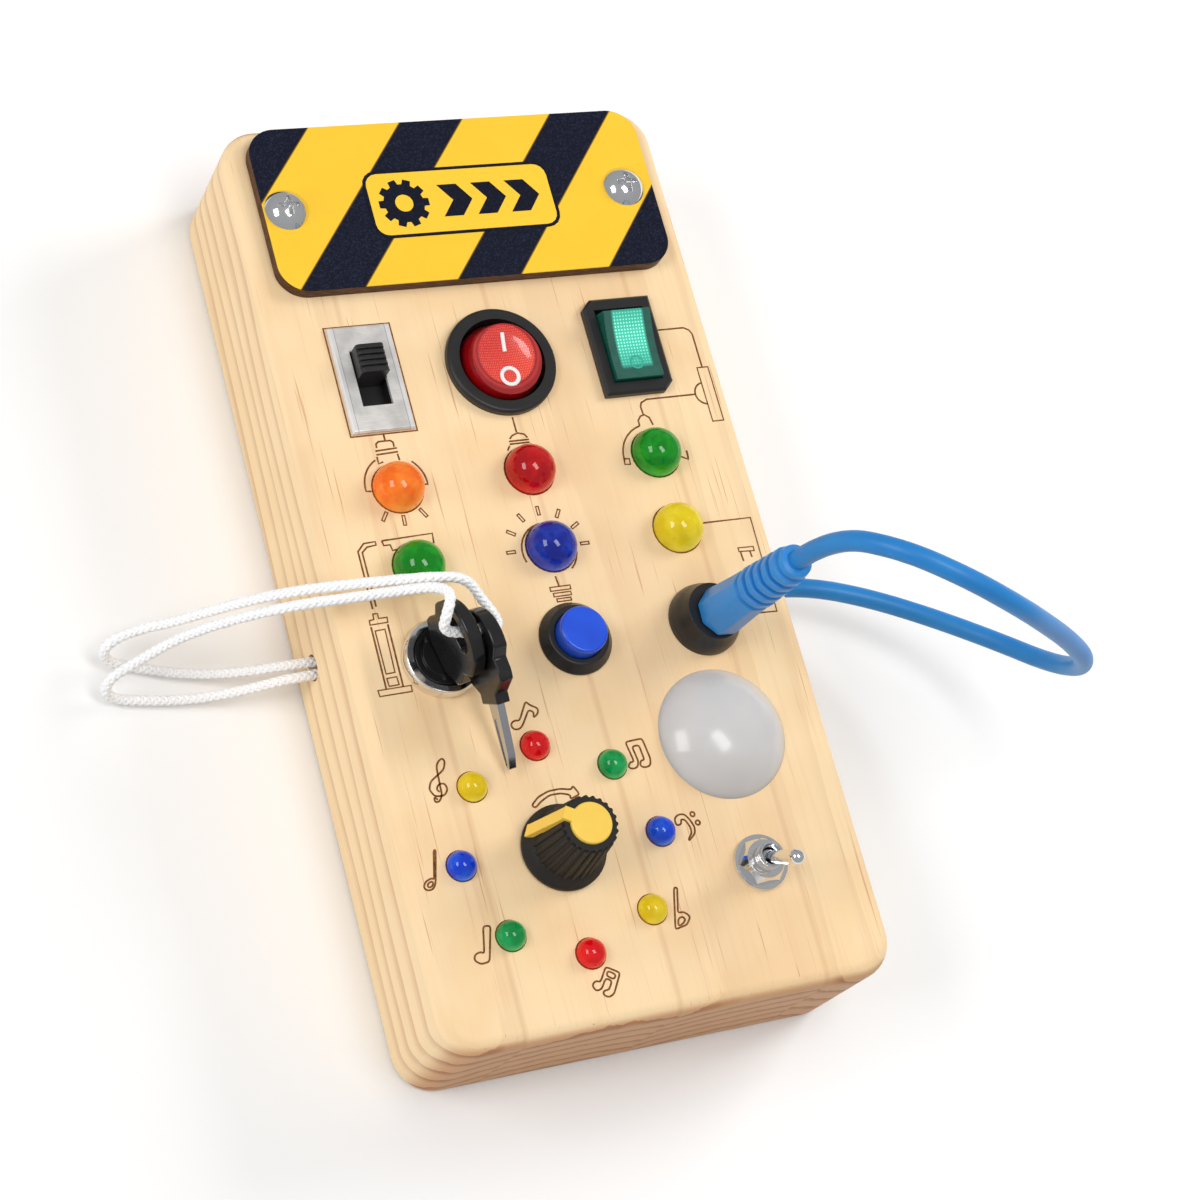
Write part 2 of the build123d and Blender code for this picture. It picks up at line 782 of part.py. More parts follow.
def push_button_cap():
    """Blue cap with a stem that runs in the floor of the bush, kept by a clip."""
    top = face_z + button_cap_h
    skirt_z = face_z - button_skirt
    cap = disc(button_cap_r, skirt_z, top)
    cap = fillet(cap.edges().sort_by(Axis.Z)[-1], 0.7)
    stem_low = button_floor_z - button_stem_out
    cap += disc(button_stem_r, stem_low, skirt_z)
    cap += disc(button_clip_r, stem_low, button_floor_z - 0.3)
    return Pos(button_x, button_y, 0) * cap


def push_button_spring():
    """Coil spring between the floor of the bush and the cap."""
    low = button_floor_z + button_floor_t + spring_wire_r
    height = face_z - button_skirt - spring_wire_r - low
    coil = Helix(pitch=height / spring_turns, height=height, radius=spring_r)
    wire = Plane(origin=coil @ 0, z_dir=coil % 0) * Circle(spring_wire_r)
    return Pos(button_x, button_y, low) * sweep(wire, path=coil, is_frenet=True)


save("push_button_bezel", push_button_bezel())
save("push_button_cap", push_button_cap())
save("push_button_spring", push_button_spring())


# ---------------------------------------------------------------- jack and plug
def plug_bore(low, high):
    """Bore along the leaning line of the plug, from its own pivot point."""
    return plug_plane.location * disc(plug_pin_r + plug_pin_fit, low, high)


def jack_collar():
    collar = lathe(
        (0, face_z), (jack_collar_r, face_z), (jack_collar_r, face_z + 1.0),
        (jack_collar_r - 0.5, face_z + 2.7), (jack_collar_top_r + 0.9, face_z + 4.3),
        (jack_collar_top_r, face_z + jack_collar_h + 2), (0, face_z + jack_collar_h + 2))
    collar += disc(jack_bush_r, face_z - jack_bush_depth, face_z)
    collar = Pos(jack_x, jack_y, 0) * collar
    collar -= plug_plane.location * block(40, 40, plug_base, plug_base + 20)
    collar -= disc(jack_socket_r + screw_fit, face_z - jack_bush_depth - 1, face_z - 1, jack_x, jack_y)
    return collar - plug_bore(-10, 30)


def jack_socket():
    socket = disc(jack_socket_r, face_z - jack_socket_depth, face_z - 1, jack_x, jack_y)
    return socket - plug_bore(plug_base - plug_pin_l - 0.5, 30)


def plug_body():
    """Faceted handle that narrows to the cord, with grip grooves on its outer half."""
    low = plug_base
    high = plug_base + plug_l
    body = lathe(
        (0, low), (plug_r - 0.4, low), (plug_r, low + 0.5), (plug_r, low + 5), (plug_r - 0.5, low + 13),
        (plug_end_r + 0.5, low + 22), (plug_end_r, high - 0.6), (plug_end_r - 0.6, high), (0, high))
    facets = extrude(Pos(0, 0, low) * RegularPolygon(plug_r * 0.985, 8, major_radius=False), plug_l)
    body &= facets
    for groove in range(5):
        z = low + 14.5 + 2.7 * groove
        body -= ring(plug_r + 1, plug_r - 1.55 - 0.16 * groove, z, z + 1.2)
    return plug_plane.location * body


def plug_pin():
    """Nickel jack pin with its waist near the tip."""
    top = plug_base
    tip = top - plug_pin_l
    pin = lathe(
        (0, tip), (0.7, tip), (plug_pin_r - 0.1, tip + 1.3), (plug_pin_r - 0.1, tip + 1.9), (1.15, tip + 2.7),
        (plug_pin_r, tip + 3.8), (plug_pin_r, top), (0, top))
    return plug_plane.location * pin


plug_tail = plug_plane.location.position + plug_dir * (plug_base + plug_l)

cord_end_x = board_w / 2 - wall - cord_stop_l

# blue cord: out of the plug, over in a free arch, back through the right-hand wall;
# the arch is given from the middle of the jack
cord_arch = [
    (12.8, -10.2, 88.4),
    (23.2, -18.4, 90.8),
    (35, -23.9, 86.2),
    (46.6, -25, 75.8),
    (57.4, -25.4, 65.0),
    (66.8, -26.3, 54.6),
    (72.2, -25.2, 43.9),
    (72.6, -20.2, 33.5),
    (67.4, -11.4, 25.1),
    (58, -2.6, 19.3),
    (46.4, 4.8, 15.9),
    (34.5, 9.5, cord_hole_z + 0.3),
    (22.6, 10.5, cord_hole_z),
]
cord_points = [tuple(plug_tail), tuple(plug_tail + plug_dir * 12.9)]
cord_points += [(jack_x + x, jack_y + y, z) for x, y, z in cord_arch]
cord_points.append((cord_end_x, cord_hole_y, cord_hole_z))


def cord_stop():
    """Rubber sleeve clamped on the cord behind the wall."""
    middle = cord_end_x + cord_stop_l / 2
    sleeve = Pos(middle, cord_hole_y, cord_hole_z) * Rot(0, 90, 0)
    return sleeve * (Cylinder(cord_stop_r, cord_stop_l) - Cylinder(cord_r + screw_fit, cord_stop_l + 1))


save("jack_collar", jack_collar())
save("jack_socket", jack_socket())
save("plug_body", plug_body())
save("plug_pin", plug_pin())
save("blue_cord", tube(cord_points, cord_r, "blue_cord"))
save("cord_stop", cord_stop())


# ---------------------------------------------------------------- key lock
lock_barrel_z = face_z - lock_barrel_depth
lock_place = Pos(lock_x, lock_y, 0) * Rot(0, 0, lock_rest_deg)
key_seat_z = face_z + lock_disc_top - key_seat_depth


def lock_bezel():
    bezel = lathe(
        (lock_bezel_bore_r, face_z), (lock_bezel_r, face_z), (lock_bezel_r, face_z + 1.2),
        (lock_bezel_r - 0.5, face_z + lock_bezel_t), (lock_bezel_bore_r + 0.2, face_z + lock_bezel_t),
        (lock_bezel_bore_r, face_z + lock_bezel_t - 0.3))
    return Pos(lock_x, lock_y, 0) * bezel


def lock_barrel():
    barrel = disc(lock_barrel_r, lock_barrel_z, face_z)
    barrel -= disc(lock_core_r + lock_core_fit, lock_barrel_z + lock_floor, face_z + 1)
    return Pos(lock_x, lock_y, 0) * barrel


def lock_core():
    """Turning core: a black disc over a round plug, with the key way through both."""
    top = face_z + lock_disc_top
    core = disc(lock_disc_r, face_z + lock_disc_gap, top)
    core += disc(lock_core_r, lock_barrel_z + lock_floor + 0.1, face_z + lock_disc_gap)
    blade = block(key_blade_t + 2 * key_fit, key_blade_w + 2 * key_fit, key_seat_z - key_blade_l - 0.5, top + 1)
    neck = block(key_t + 2 * key_fit, 2 * (key_neck_half + key_fit), key_seat_z, top + 1)
    arc = ring(4.9, 4.2, top - 0.5, top + 1) & block(20, 20, top - 1, top + 2, -12, 0)
    return lock_place * (core - blade - neck - arc)


save("lock_bezel", lock_bezel())
save("lock_barrel", lock_barrel())
save("lock_core", lock_core())


# ---------------------------------------------------------------- keys
def key_head():
    """Black grip, drawn flat in the YZ plane with its neck end at the origin."""
    half = [
        (key_neck_half, 0), (key_neck_half, key_neck_l), (key_shoulder_half, key_shoulder_l),
        (key_shoulder_half, key_shoulder_l + 1.6), (key_waist_half, key_waist_l),
        (key_corner_half, key_corner_l)]
    side = [Vector(0, y, z) for y, z in half]
    other = [Vector(0, -y, z) for y, z in reversed(half)]
    crown = ThreePointArc(side[-1], Vector(0, 0, key_l), other[0])
    outline = Polyline(*side) + crown + Polyline(*other, side[0])
    plate = extrude(make_face(outline), key_t / 2, dir=(1, 0, 0), both=True)
    slot = Plane(origin=(0, 0, key_slot_at), x_dir=(0, 1, 0), z_dir=(1, 0, 0)) * SlotOverall(key_slot_w, key_slot_h)
    plate -= extrude(slot, key_t, both=True)
    tang = block(key_blade_t + 0.04, key_blade_w - 1 + 0.04, -1, key_tang_l + 0.02)
    return plate - tang


def key_blade():
    """Nickel blade with a rounded tip, a milled groove and a tang inside the grip."""
    half = key_blade_w / 2
    tip = -key_blade_l
    shoulder = tip + key_tip_l
    left = Polyline((0, -key_tip_half, tip + 0.5), (0, -half, shoulder), (0, -half, 0), (0, half, 0),
                    (0, half, shoulder), (0, key_tip_half, tip + 0.5))
    end = ThreePointArc((0, key_tip_half, tip + 0.5), (0, 0, tip), (0, -key_tip_half, tip + 0.5))
    blade = extrude(make_face(left + end), key_blade_t / 2, dir=(1, 0, 0), both=True)
    for side in (-1, 1):
        groove_x = side * (key_blade_t / 2)
        blade -= Pos(groove_x, 0.6, tip / 2 - 1) * Box(0.6, 1.0, key_blade_l - 4)
    return blade + block(key_blade_t, key_blade_w - 1, 0, key_tang_l)


lock_key_place = lock_place * Pos(0, 0, key_seat_z)
yaw = radians(spare_yaw)
pitch = radians(spare_pitch)
spare_plane = Plane(
    origin=(spare_x, spare_y, spare_z),
    x_dir=(cos(yaw), sin(yaw), 0),
    z_dir=(-cos(pitch) * sin(yaw), cos(pitch) * cos(yaw), sin(pitch)))

save("lock_key_head", lock_key_place * key_head())
save("lock_key_blade", lock_key_place * key_blade())
save("spare_key_head", spare_plane.location * key_head())
save("spare_key_blade", spare_plane.location * key_blade())

# ---------------------------------------------------------------- rope
rope_start_x = -board_w / 2 + wall + knot_gap
rope_a_y = rope_hole_y + rope_pair_pitch / 2
rope_b_y = rope_hole_y - rope_pair_pitch / 2

# one line: out of the wall, out and back over the board, round the spare key,
# through the slots of both keys, and back the same way to the wall;
# it is given from the middle of the lock
rope_line = [
    (-21.3, rope_a_y - lock_y, rope_hole_z),
    (-31.5, 11.3, 5.2),
    (-40.5, 13.5, 1.9),
    (-48.4, 16, 1.5),
    (-55.9, 18.2, 2.4),
    (-56.5, 19.7, 8.2),
    (-50.3, 21.2, 9.6),
    (-44.3, 20.5, 13.2),
    (-38.3, 18.9, 21.6),
    (-31.5, 16.8, 31.2),
    (-23.9, 15.3, 36.6),
    (-12.9, 13.9, 39.8),
    (-3.3, 12.3, 43.2),
    (3.5, 10.9, 44.6),
    (6.5, 7.7, 41.6),
    (8.5, 3.1, 41.8),
    (7.3, 0.15, 44.3),
    (2.1, -0.05, 44.75),
    (-4.3, 0.5, 45.3),
    (-4.1, 2.5, 49.6),
    (-2.1, 6.5, 49.6),
    (-3.3, 9.5, 45.6),
    (-9.5, 10.9, 41.6),
    (-17.5, 11.7, 38.9),
    (-25.1, 12.6, 36.4),
    (-31.9, 13.8, 31.4),
    (-38.3, 15.4, 23.8),
    (-44.7, 16.4, 15.2),
    (-50.9, 15.1, 9.4),
    (-57.7, 12.7, 7.0),
    (-56.5, 10.9, 1.5),
    (-48.3, 9.3, 1.5),
    (-39.7, 8.1, 2.4),
    (-30.9, 7.3, 6.0),
    (-21.5, rope_b_y - lock_y, rope_hole_z),
]
rope_points = [(rope_start_x, rope_a_y, rope_hole_z)]
rope_points += [(lock_x + x, lock_y + y, z) for x, y, z in rope_line]
rope_points.append((rope_start_x, rope_b_y, rope_hole_z))


def rope_knot():
    """Overhand knot pulled up behind the wall, flat where both ends run into it."""
    ball = Pos(rope_start_x + knot_r * 0.75, rope_hole_y, rope_hole_z) * Sphere(knot_r)
    cutter = Pos(rope_start_x + 10, rope_hole_y, rope_hole_z) * Box(20, 20, 20)
    return ball & cutter


save("key_rope", tube(rope_points, rope_r, "key_rope"))
save("rope_knot", rope_knot())


# ---------------------------------------------------------------- selector knob
def selector_knob():
    """Tapered knob with a skirt and fine ribs, bored for its shaft."""
    top = face_z + knob_top
    foot = knob_z + knob_skirt_t
    knob = lathe(
        (0, knob_z), (knob_skirt_r, knob_z), (knob_skirt_r, knob_z + 0.8), (knob_foot_r + 0.6, foot),
        (knob_foot_r, foot + 0.4), (knob_top_r, top), (0, top))
    for rib in range(knob_rib_count):
        turn = 360 * (rib + 0.5) / knob_rib_count
        lean = Plane(origin=(knob_foot_r, 0, foot + 0.2), z_dir=(knob_top_r - knob_foot_r, 0, top - foot))
        rib_bar = lean.location * disc(knob_rib_r, 0, top - foot - 0.6)
        knob += Rot(0, 0, turn) * rib_bar
    knob -= disc(shaft_r + shaft_fit, knob_z - 1, knob_z + shaft_into_knob)
    knob -= pointer()
    return Pos(ring_x, ring_y, 0) * knob


def pointer():
    """Yellow bar let into one side of the knob, which slopes from its top to its skirt."""
    top = face_z + knob_top
    low = knob_z + pointer_foot
    side = make_face(Polyline(
        (0, 0, low), (knob_skirt_r - 0.2, 0, low), (knob_skirt_r - 0.5, 0, low + 0.9),
        (knob_top_r + 0.5, 0, top), (0, 0, top), close=True))
    bar = Pos(0, pointer_w / 2, 0) * extrude(side, pointer_w, dir=(0, -1, 0))
    return Rot(0, 0, pointer_deg) * (bar - disc(knob_cap_r - 0.4, knob_z, top + 1))


def knob_cap():
    """Yellow cap glued on the knob, with the pointer line down its side."""
    top = face_z + knob_top
    cap = disc(knob_cap_r, top, top + knob_cap_t)
    cap = fillet(cap.edges().sort_by(Axis.Z)[-1], 0.4)
    reach = knob_top_r + 0.5
    line = Rot(0, 0, pointer_deg) * block(reach, pointer_w, top, top + knob_cap_t, reach / 2, 0)
    return Pos(ring_x, ring_y, 0) * (cap + line + pointer())


def selector_shaft():
    low = face_z - face_t - rotary_body_depth + 2
    shaft = disc(shaft_r, low, knob_z + shaft_into_knob)
    return Pos(ring_x, ring_y, 0) * shaft


def selector_switch():
    """Rotary switch behind the face, held by its bushing."""
    body = disc(rotary_body_r, back_z - rotary_body_depth, back_z)
    body += disc(bushing_r, back_z, face_z)
    body -= disc(shaft_r + shaft_fit, back_z - rotary_body_depth + 1.9, face_z + 1)
    return Pos(ring_x, ring_y, 0) * body


save("selector_knob", selector_knob())
save("knob_cap", knob_cap())
save("selector_shaft", selector_shaft())
save("selector_switch", selector_switch())


# ---------------------------------------------------------------- dome lamp
def dome_lens():
    """Milky dome on the face with a round spigot through it."""
    inner_r = dome_spigot_r - dome_wall
    lens = dome_cap(dome_r, dome_h, face_z, dome_x, dome_y)
    lens -= dome_cap(inner_r, dome_h - dome_wall, face_z - 0.01, dome_x, dome_y)
    return lens + ring(dome_spigot_r, inner_r, face_z - dome_spigot_l, face_z, dome_x, dome_y)


def dome_lamp_board():
    top = face_z - dome_spigot_l
    lamp_board = disc(dome_spigot_r, top - board_pcb_t, top, dome_x, dome_y)
    return lamp_board + block(dome_led_side, dome_led_side, top, top + dome_led_t, dome_x, dome_y)


save("dome_lens", dome_lens())
save("dome_lamp_board", dome_lamp_board())

# ---------------------------------------------------------------- toggle switch
toggle_pivot_z = face_z + toggle_pivot
toggle_top_z = face_z + toggle_bush_top


def toggle_bushing():
    """Washer, lock nut and threaded neck in one clamped stack."""
    stack = disc(toggle_washer_r, face_z, face_z + toggle_washer_t)
    nut_low = face_z + toggle_washer_t
    hexagon = RegularPolygon(toggle_nut_across / 2, 6, major_radius=False)
    nut_body = extrude(Pos(0, 0, nut_low) * hexagon, toggle_nut_t)
    crown = cone(toggle_nut_across / 2 + 0.9, toggle_nut_across / 2 - 0.5, nut_low, nut_low + toggle_nut_t + 0.2)
    stack += nut_body & crown
    stack += disc(toggle_bush_r, back_z, toggle_top_z)
    stack -= disc(toggle_bore_r, toggle_pivot_z - toggle_bore_r, toggle_top_z + 1)
    stack -= cone(toggle_bore_r, toggle_mouth_r, toggle_top_z - toggle_mouth_h, toggle_top_z + 0.01)
    return Pos(toggle_x, toggle_y, 0) * stack


def toggle_body():
    return block(toggle_body_w, toggle_body_l, back_z - toggle_body_depth, back_z, toggle_x, toggle_y)


def toggle_lever():
    """Bat lever on a pivot ball, resting towards the foot of the board."""
    lever = Sphere(toggle_ball_r)
    lever += cone(toggle_lever_r, toggle_tip_r, 0, toggle_lever_l)
    lever += Pos(0, 0, toggle_lever_l) * Sphere(toggle_tip_r)
    return Pos(toggle_x, toggle_y, toggle_pivot_z) * Rot(toggle_rest_deg, 0, 0) * lever


save("toggle_bushing", toggle_bushing())
save("toggle_body", toggle_body())
save("toggle_lever", toggle_lever())


# ---------------------------------------------------------------- nuts and terminals
save("panel_nuts",
     nut(button_bush_r + nut_wall, button_bush_r, button_x, button_y),
     nut(jack_bush_r + nut_wall, jack_bush_r, jack_x, jack_y),
     nut(lock_barrel_r + nut_wall, lock_barrel_r, lock_x, lock_y))

terminals = []
for offset in (-4, 0, 4):
    terminals.append(terminal(slide_x, slide_y - 3 + offset, face_z - slide_body_depth))
    terminals.append(terminal(square_x, square_y - 4.2 + offset, face_z - square_body_depth))
    terminals.append(terminal(toggle_x + offset, toggle_y, back_z - toggle_body_depth, turned=True))
for offset in (-3.5, 3.5):
    terminals.append(terminal(round_x, round_y - 3 + offset, face_z - round_body_depth))
    terminals.append(terminal(button_x + offset, button_y, button_floor_z, turned=True))
    terminals.append(terminal(lock_x, lock_y + offset, lock_barrel_z))
    terminals.append(terminal(ring_x + 2 * offset, ring_y, back_z - rotary_body_depth, turned=True))
save("switch_terminals", *terminals)
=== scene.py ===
from math import cos, dist, pi, radians, sin, sqrt

import bmesh
import bpy
from mathutils import Matrix, Vector


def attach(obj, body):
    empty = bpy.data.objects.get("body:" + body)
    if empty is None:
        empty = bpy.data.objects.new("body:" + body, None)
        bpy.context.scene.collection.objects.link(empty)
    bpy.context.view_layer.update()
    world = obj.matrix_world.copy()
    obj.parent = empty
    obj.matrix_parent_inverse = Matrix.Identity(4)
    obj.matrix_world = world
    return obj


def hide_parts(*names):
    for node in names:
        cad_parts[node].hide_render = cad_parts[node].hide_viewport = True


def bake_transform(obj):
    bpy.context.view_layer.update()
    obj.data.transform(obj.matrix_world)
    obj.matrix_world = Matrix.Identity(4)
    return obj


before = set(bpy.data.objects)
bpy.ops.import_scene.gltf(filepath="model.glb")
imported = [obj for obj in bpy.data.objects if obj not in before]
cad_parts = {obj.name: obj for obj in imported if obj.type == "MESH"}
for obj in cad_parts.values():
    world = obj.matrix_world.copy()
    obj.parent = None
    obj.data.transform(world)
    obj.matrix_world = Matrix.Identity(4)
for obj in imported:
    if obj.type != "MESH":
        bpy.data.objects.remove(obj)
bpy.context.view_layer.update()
mm = 0.001

# ---------------------------------------------------------------- camera, light and table
# The board lies on its back on a white table. Two soft lamps hang over it, and two small ones
# stand low on its right and left. The room fills in the rest, darker near the floor.
camera_place = (-0.223876, -0.174723, 0.511068)
camera_axes = Matrix(((0.90217, -0.25838, 0.34544), (0.12245, 0.92122, 0.36926), (-0.41363, -0.29084, 0.86274)))
board_middle = (0.0, 0.0, 0.02)
board_flank = (0.0, 0.0, 0.015)
table_half, table_drop = 4.0, 0.0004


def placed(name, data):
    """A new object in the scene that holds the given data."""
    holder = bpy.data.objects.new(name, data)
    bpy.context.scene.collection.objects.link(holder)
    return holder


camera = placed("camera", bpy.data.cameras.new("camera"))
camera.matrix_world = Matrix.Translation(camera_place) @ camera_axes.transposed().to_4x4()
camera.data.lens = 85.7027
camera.data.sensor_width = 36.0
camera.data.clip_start = 0.01
bpy.context.scene.camera = camera
bpy.context.scene.view_settings.view_transform = "Standard"


def softbox(name, place, aim, width, height, power):
    """An oblong studio lamp that faces a point."""
    lamp = bpy.data.lights.new(name, "AREA")
    lamp.shape = "RECTANGLE"
    lamp.size, lamp.size_y = width, height
    lamp.energy = power
    holder = placed(name, lamp)
    holder.location = place
    holder.rotation_euler = (Vector(aim) - Vector(place)).to_track_quat("-Z", "Y").to_euler()
    return holder


softbox("softbox_above", (0.06, -0.12, 0.86), board_middle, 0.23, 0.42, 2.0)
softbox("softbox_left", (-0.62, 0.07, 0.61), board_middle, 0.42, 0.23, 1.75)
low_lamp = softbox("low_lamp", (0.62, 0.20, 0.46), board_middle, 0.34, 0.30, 2.6)
low_lamp.visible_glossy = False
side_lamp = softbox("side_lamp", (-0.80, -0.06, 0.17), board_flank, 0.30, 0.24, 1.6)
side_lamp.visible_glossy = False


def colour(red, green, blue):
    """A paint colour from the values of a colour chart, 0 to 255."""
    parts = [value / 255 for value in (red, green, blue)]
    return tuple(p / 12.92 if p <= 0.04045 else ((p + 0.055) / 1.055) ** 2.4 for p in parts) + (1.0,)


def scaled(tone, share, lift=0.0):
    """The same colour, darker or lighter."""
    return tuple(value * share + lift for value in tone[:3]) + (1.0,)


class Field:
    """A number that changes over a surface. Sums on it add Math nodes."""

    def __init__(self, paint, socket):
        self.paint = paint
        self.socket = socket

    def maths(self, operation, *terms):
        node = self.paint.add("ShaderNodeMath", {"operation": operation}, dict(enumerate(terms)))
        return Field(self.paint, node.outputs[0])

    def __add__(self, other):
        return self.maths("ADD", self, other)

    __radd__ = __add__

    def __sub__(self, other):
        return self.maths("SUBTRACT", self, other)

    def __rsub__(self, other):
        return self.maths("SUBTRACT", other, self)

    def __mul__(self, other):
        return self.maths("MULTIPLY", self, other)

    __rmul__ = __mul__

    def __truediv__(self, other):
        return self.maths("DIVIDE", self, other)

    def __pow__(self, other):
        return self.maths("POWER", self, other)

    def __abs__(self):
        return self.maths("ABSOLUTE", self)

    def part(self):
        return self.maths("FRACT", self)

    def whole(self):
        return self.maths("FLOOR", self)

    def sine(self):
        return self.maths("SINE", self)

    def over(self, limit):
        return self.maths("GREATER_THAN", self, limit)

    def under(self, limit):
        return self.maths("LESS_THAN", self, limit)

    def least(self, other):
        return self.maths("MINIMUM", self, other)

    def reach(self, other):
        """The length of a way that goes this far on one axis and the other on the next."""
        return self.maths("SQRT", self * self + other * other)

    def rise(self, low, high):
        """0 below low, 1 above high, and a soft step between them."""
        settings = {"interpolation_type": "SMOOTHSTEP", "clamp": True}
        node = self.paint.add("ShaderNodeMapRange", settings, {"Value": self, "From Min": low, "From Max": high})
        return Field(self.paint, node.outputs["Result"])


class Wiring:
    """The nodes of one tree. They come from add(), with their settings first and then their sockets."""

    def __init__(self, tree):
        self.tree = tree

    def give(self, node, sockets):
        for key, value in dict(sockets).items():
            value = value.socket if isinstance(value, Field) else value
            if isinstance(value, bpy.types.NodeSocket):
                self.tree.links.new(value, node.inputs[key])
            else:
                node.inputs[key].default_value = value

    def add(self, kind, settings=(), sockets=()):
        node = self.tree.nodes.new(kind)
        for key, value in dict(settings).items():
            setattr(node, key, value)
        self.give(node, sockets)
        return node


class Paint(Wiring):
    """One finish, with its patterns laid out over the object in millimetres."""

    def __init__(self, name, values=()):
        self.material = bpy.data.materials.new(name)
        self.material.use_nodes = True
        super().__init__(self.material.node_tree)
        self.shader = self.tree.nodes["Principled BSDF"]
        self.give(self.shader, values)

    def vector(self, operation, first, second):
        return self.add("ShaderNodeVectorMath", {"operation": operation}, {0: first, 1: second}).outputs[0]

    def place(self, stretch=(1.0, 1.0, 1.0), shift=(0.0, 0.0, 0.0)):
        """The place on the object in millimetres, shifted and then stretched."""
        moved = self.vector("SUBTRACT", self.add("ShaderNodeTexCoord").outputs["Object"], [s * mm for s in shift])
        return self.vector("MULTIPLY", moved, [s / mm for s in stretch])

    def axes(self, vector):
        return [Field(self, socket) for socket in self.add("ShaderNodeSeparateXYZ", (), {0: vector}).outputs]

    def noise(self, vector, scale, detail=2.0, roughness=0.5):
        sockets = {"Vector": vector, "Scale": scale, "Detail": detail, "Roughness": roughness}
        return Field(self, self.add("ShaderNodeTexNoise", (), sockets).outputs["Fac"])

    def long_noise(self, across, along, detail=2.0):
        """Noise drawn out along the board, by its waves per millimetre across and along it."""
        return self.noise(self.place((across, along, across)), 1.0, detail)

    def mix(self, share, first, second):
        return self.add("ShaderNodeMix", {"data_type": "RGBA"}, {0: share, 6: first, 7: second}).outputs[2]

    def tint(self, base, *layers):
        """A colour with other tones laid over it, each by its own share."""
        for share, tone in layers:
            base = self.mix(share, base, tone)
        return base

    def relief(self, height, depth, strength=1.0):
        bump = self.add("ShaderNodeBump", (), {"Height": height, "Distance": depth * mm, "Strength": strength})
        self.give(self.shader, {"Normal": bump.outputs["Normal"]})

    def look(self, **sockets):
        names = {"base": "Base Color", "rough": "Roughness", "glow": "Emission Color"}
        self.give(self.shader, {names[key]: value for key, value in sockets.items()})
        return self.material


room = bpy.data.worlds.new("room")
room.use_nodes = True
bpy.context.scene.world = room
room_nodes = Wiring(room.node_tree)
room_way = room_nodes.add("ShaderNodeTexCoord").outputs["Generated"]
room_height = room_nodes.add("ShaderNodeSeparateXYZ", (), {0: room_way}).outputs["Z"]
room_level = room_nodes.add("ShaderNodeMapRange", (), {
    "Value": room_height, "From Min": 0.0, "From Max": 0.8, "To Min": 0.36, "To Max": 0.40}).outputs["Result"]
room_nodes.give(room.node_tree.nodes["Background"], {"Color": (1.0, 1.0, 1.0, 1.0), "Strength": room_level})


def table_paint():
    paint = Paint("table_white", {"Roughness": 0.9, "Specular IOR Level": 0.0})
    seen, mirror = (Field(paint, paint.add("ShaderNodeLightPath").outputs[ray])
                    for ray in ("Is Camera Ray", "Is Glossy Ray"))
    white = (seen + mirror * 0.5).least(1.0)
    return paint.look(base=paint.mix(white, (0.72, 0.72, 0.72, 1.0), (1.0, 1.0, 1.0, 1.0)))


table_mesh = bpy.data.meshes.new("table")
table_corners = [(x * table_half, y * table_half, -table_drop) for x, y in ((-1, -1), (1, -1), (1, 1), (-1, 1))]
table_mesh.from_pydata(table_corners, [], [(0, 1, 2, 3)])
table_mesh.materials.append(table_paint())
placed("table", table_mesh)

# ---------------------------------------------------------------- blue cord and its plug
# A rubber cord, 4 mm thick, moulded to the handle of a jack plug. It rises in a free arch and
# goes back through a bore in the right-hand wall, where a sleeve holds it.
cord_width = 4.0 * mm
cord_sides = 28
straight_run = 12.9
plug_way = Vector((0.107230, -0.053615, 0.992787))
plug_tail = Vector((31.143, -22.171, 66.208))
cord_route = [
    tuple(plug_tail), tuple(plug_tail + plug_way * straight_run), (39.6, -30.2, 88.4), (50.0, -38.4, 90.8),
    (61.8, -43.9, 86.2), (73.4, -45.0, 75.8), (84.2, -45.4, 65.0), (93.6, -46.3, 54.6), (99.0, -45.2, 43.9),
    (99.4, -40.2, 33.5), (94.2, -31.4, 25.1), (84.8, -22.6, 19.3), (73.2, -15.2, 15.9), (61.3, -10.5, 14.3),
    (49.4, -9.5, 14.0), (35.25, -9.5, 14.0),
]


def line_curve(name, lines, unit=mm, kind="POLY"):
    """One curve object with a line through each row of points."""
    curve = bpy.data.curves.new(name, "CURVE")
    curve.dimensions = "3D"
    for points in lines:
        spline = curve.splines.new(kind)
        spline.points.add(len(points) - 1)
        for knot, point in zip(spline.points, points):
            knot.co = (*(value * unit for value in point), 1.0)
    return placed(name, curve)


def routed(name, points):
    """The free line through a cord's points."""
    holder = line_curve(name, [points], kind="NURBS")
    spline = holder.data.splines[0]
    spline.order_u = 3
    spline.use_endpoint_u = True
    spline.resolution_u = 10
    return holder


def shown_mesh(holder):
    """What an object shows once its modifiers have run, as a mesh."""
    return bpy.data.meshes.new_from_object(holder.evaluated_get(bpy.context.evaluated_depsgraph_get()))


def line_points(holder):
    """The points of a curve's own line, in metres."""
    mesh = shown_mesh(holder)
    points = [vertex.co.copy() for vertex in mesh.vertices]
    bpy.data.meshes.remove(mesh)
    return points


def open_tree(name, sizes):
    """A new tree with its lines, its sizes and its finish as named inputs."""
    tree = bpy.data.node_groups.new(name, "GeometryNodeTree")
    tree.is_modifier = True
    for key, kind in {"Line": "Geometry", **sizes, "Finish": "Material"}.items():
        tree.interface.new_socket(name=key, in_out="INPUT", socket_type="NodeSocket" + kind)
    tree.interface.new_socket(name="Piece", in_out="OUTPUT", socket_type="NodeSocketGeometry")
    wiring = Wiring(tree)
    return wiring, wiring.add("NodeGroupInput").outputs


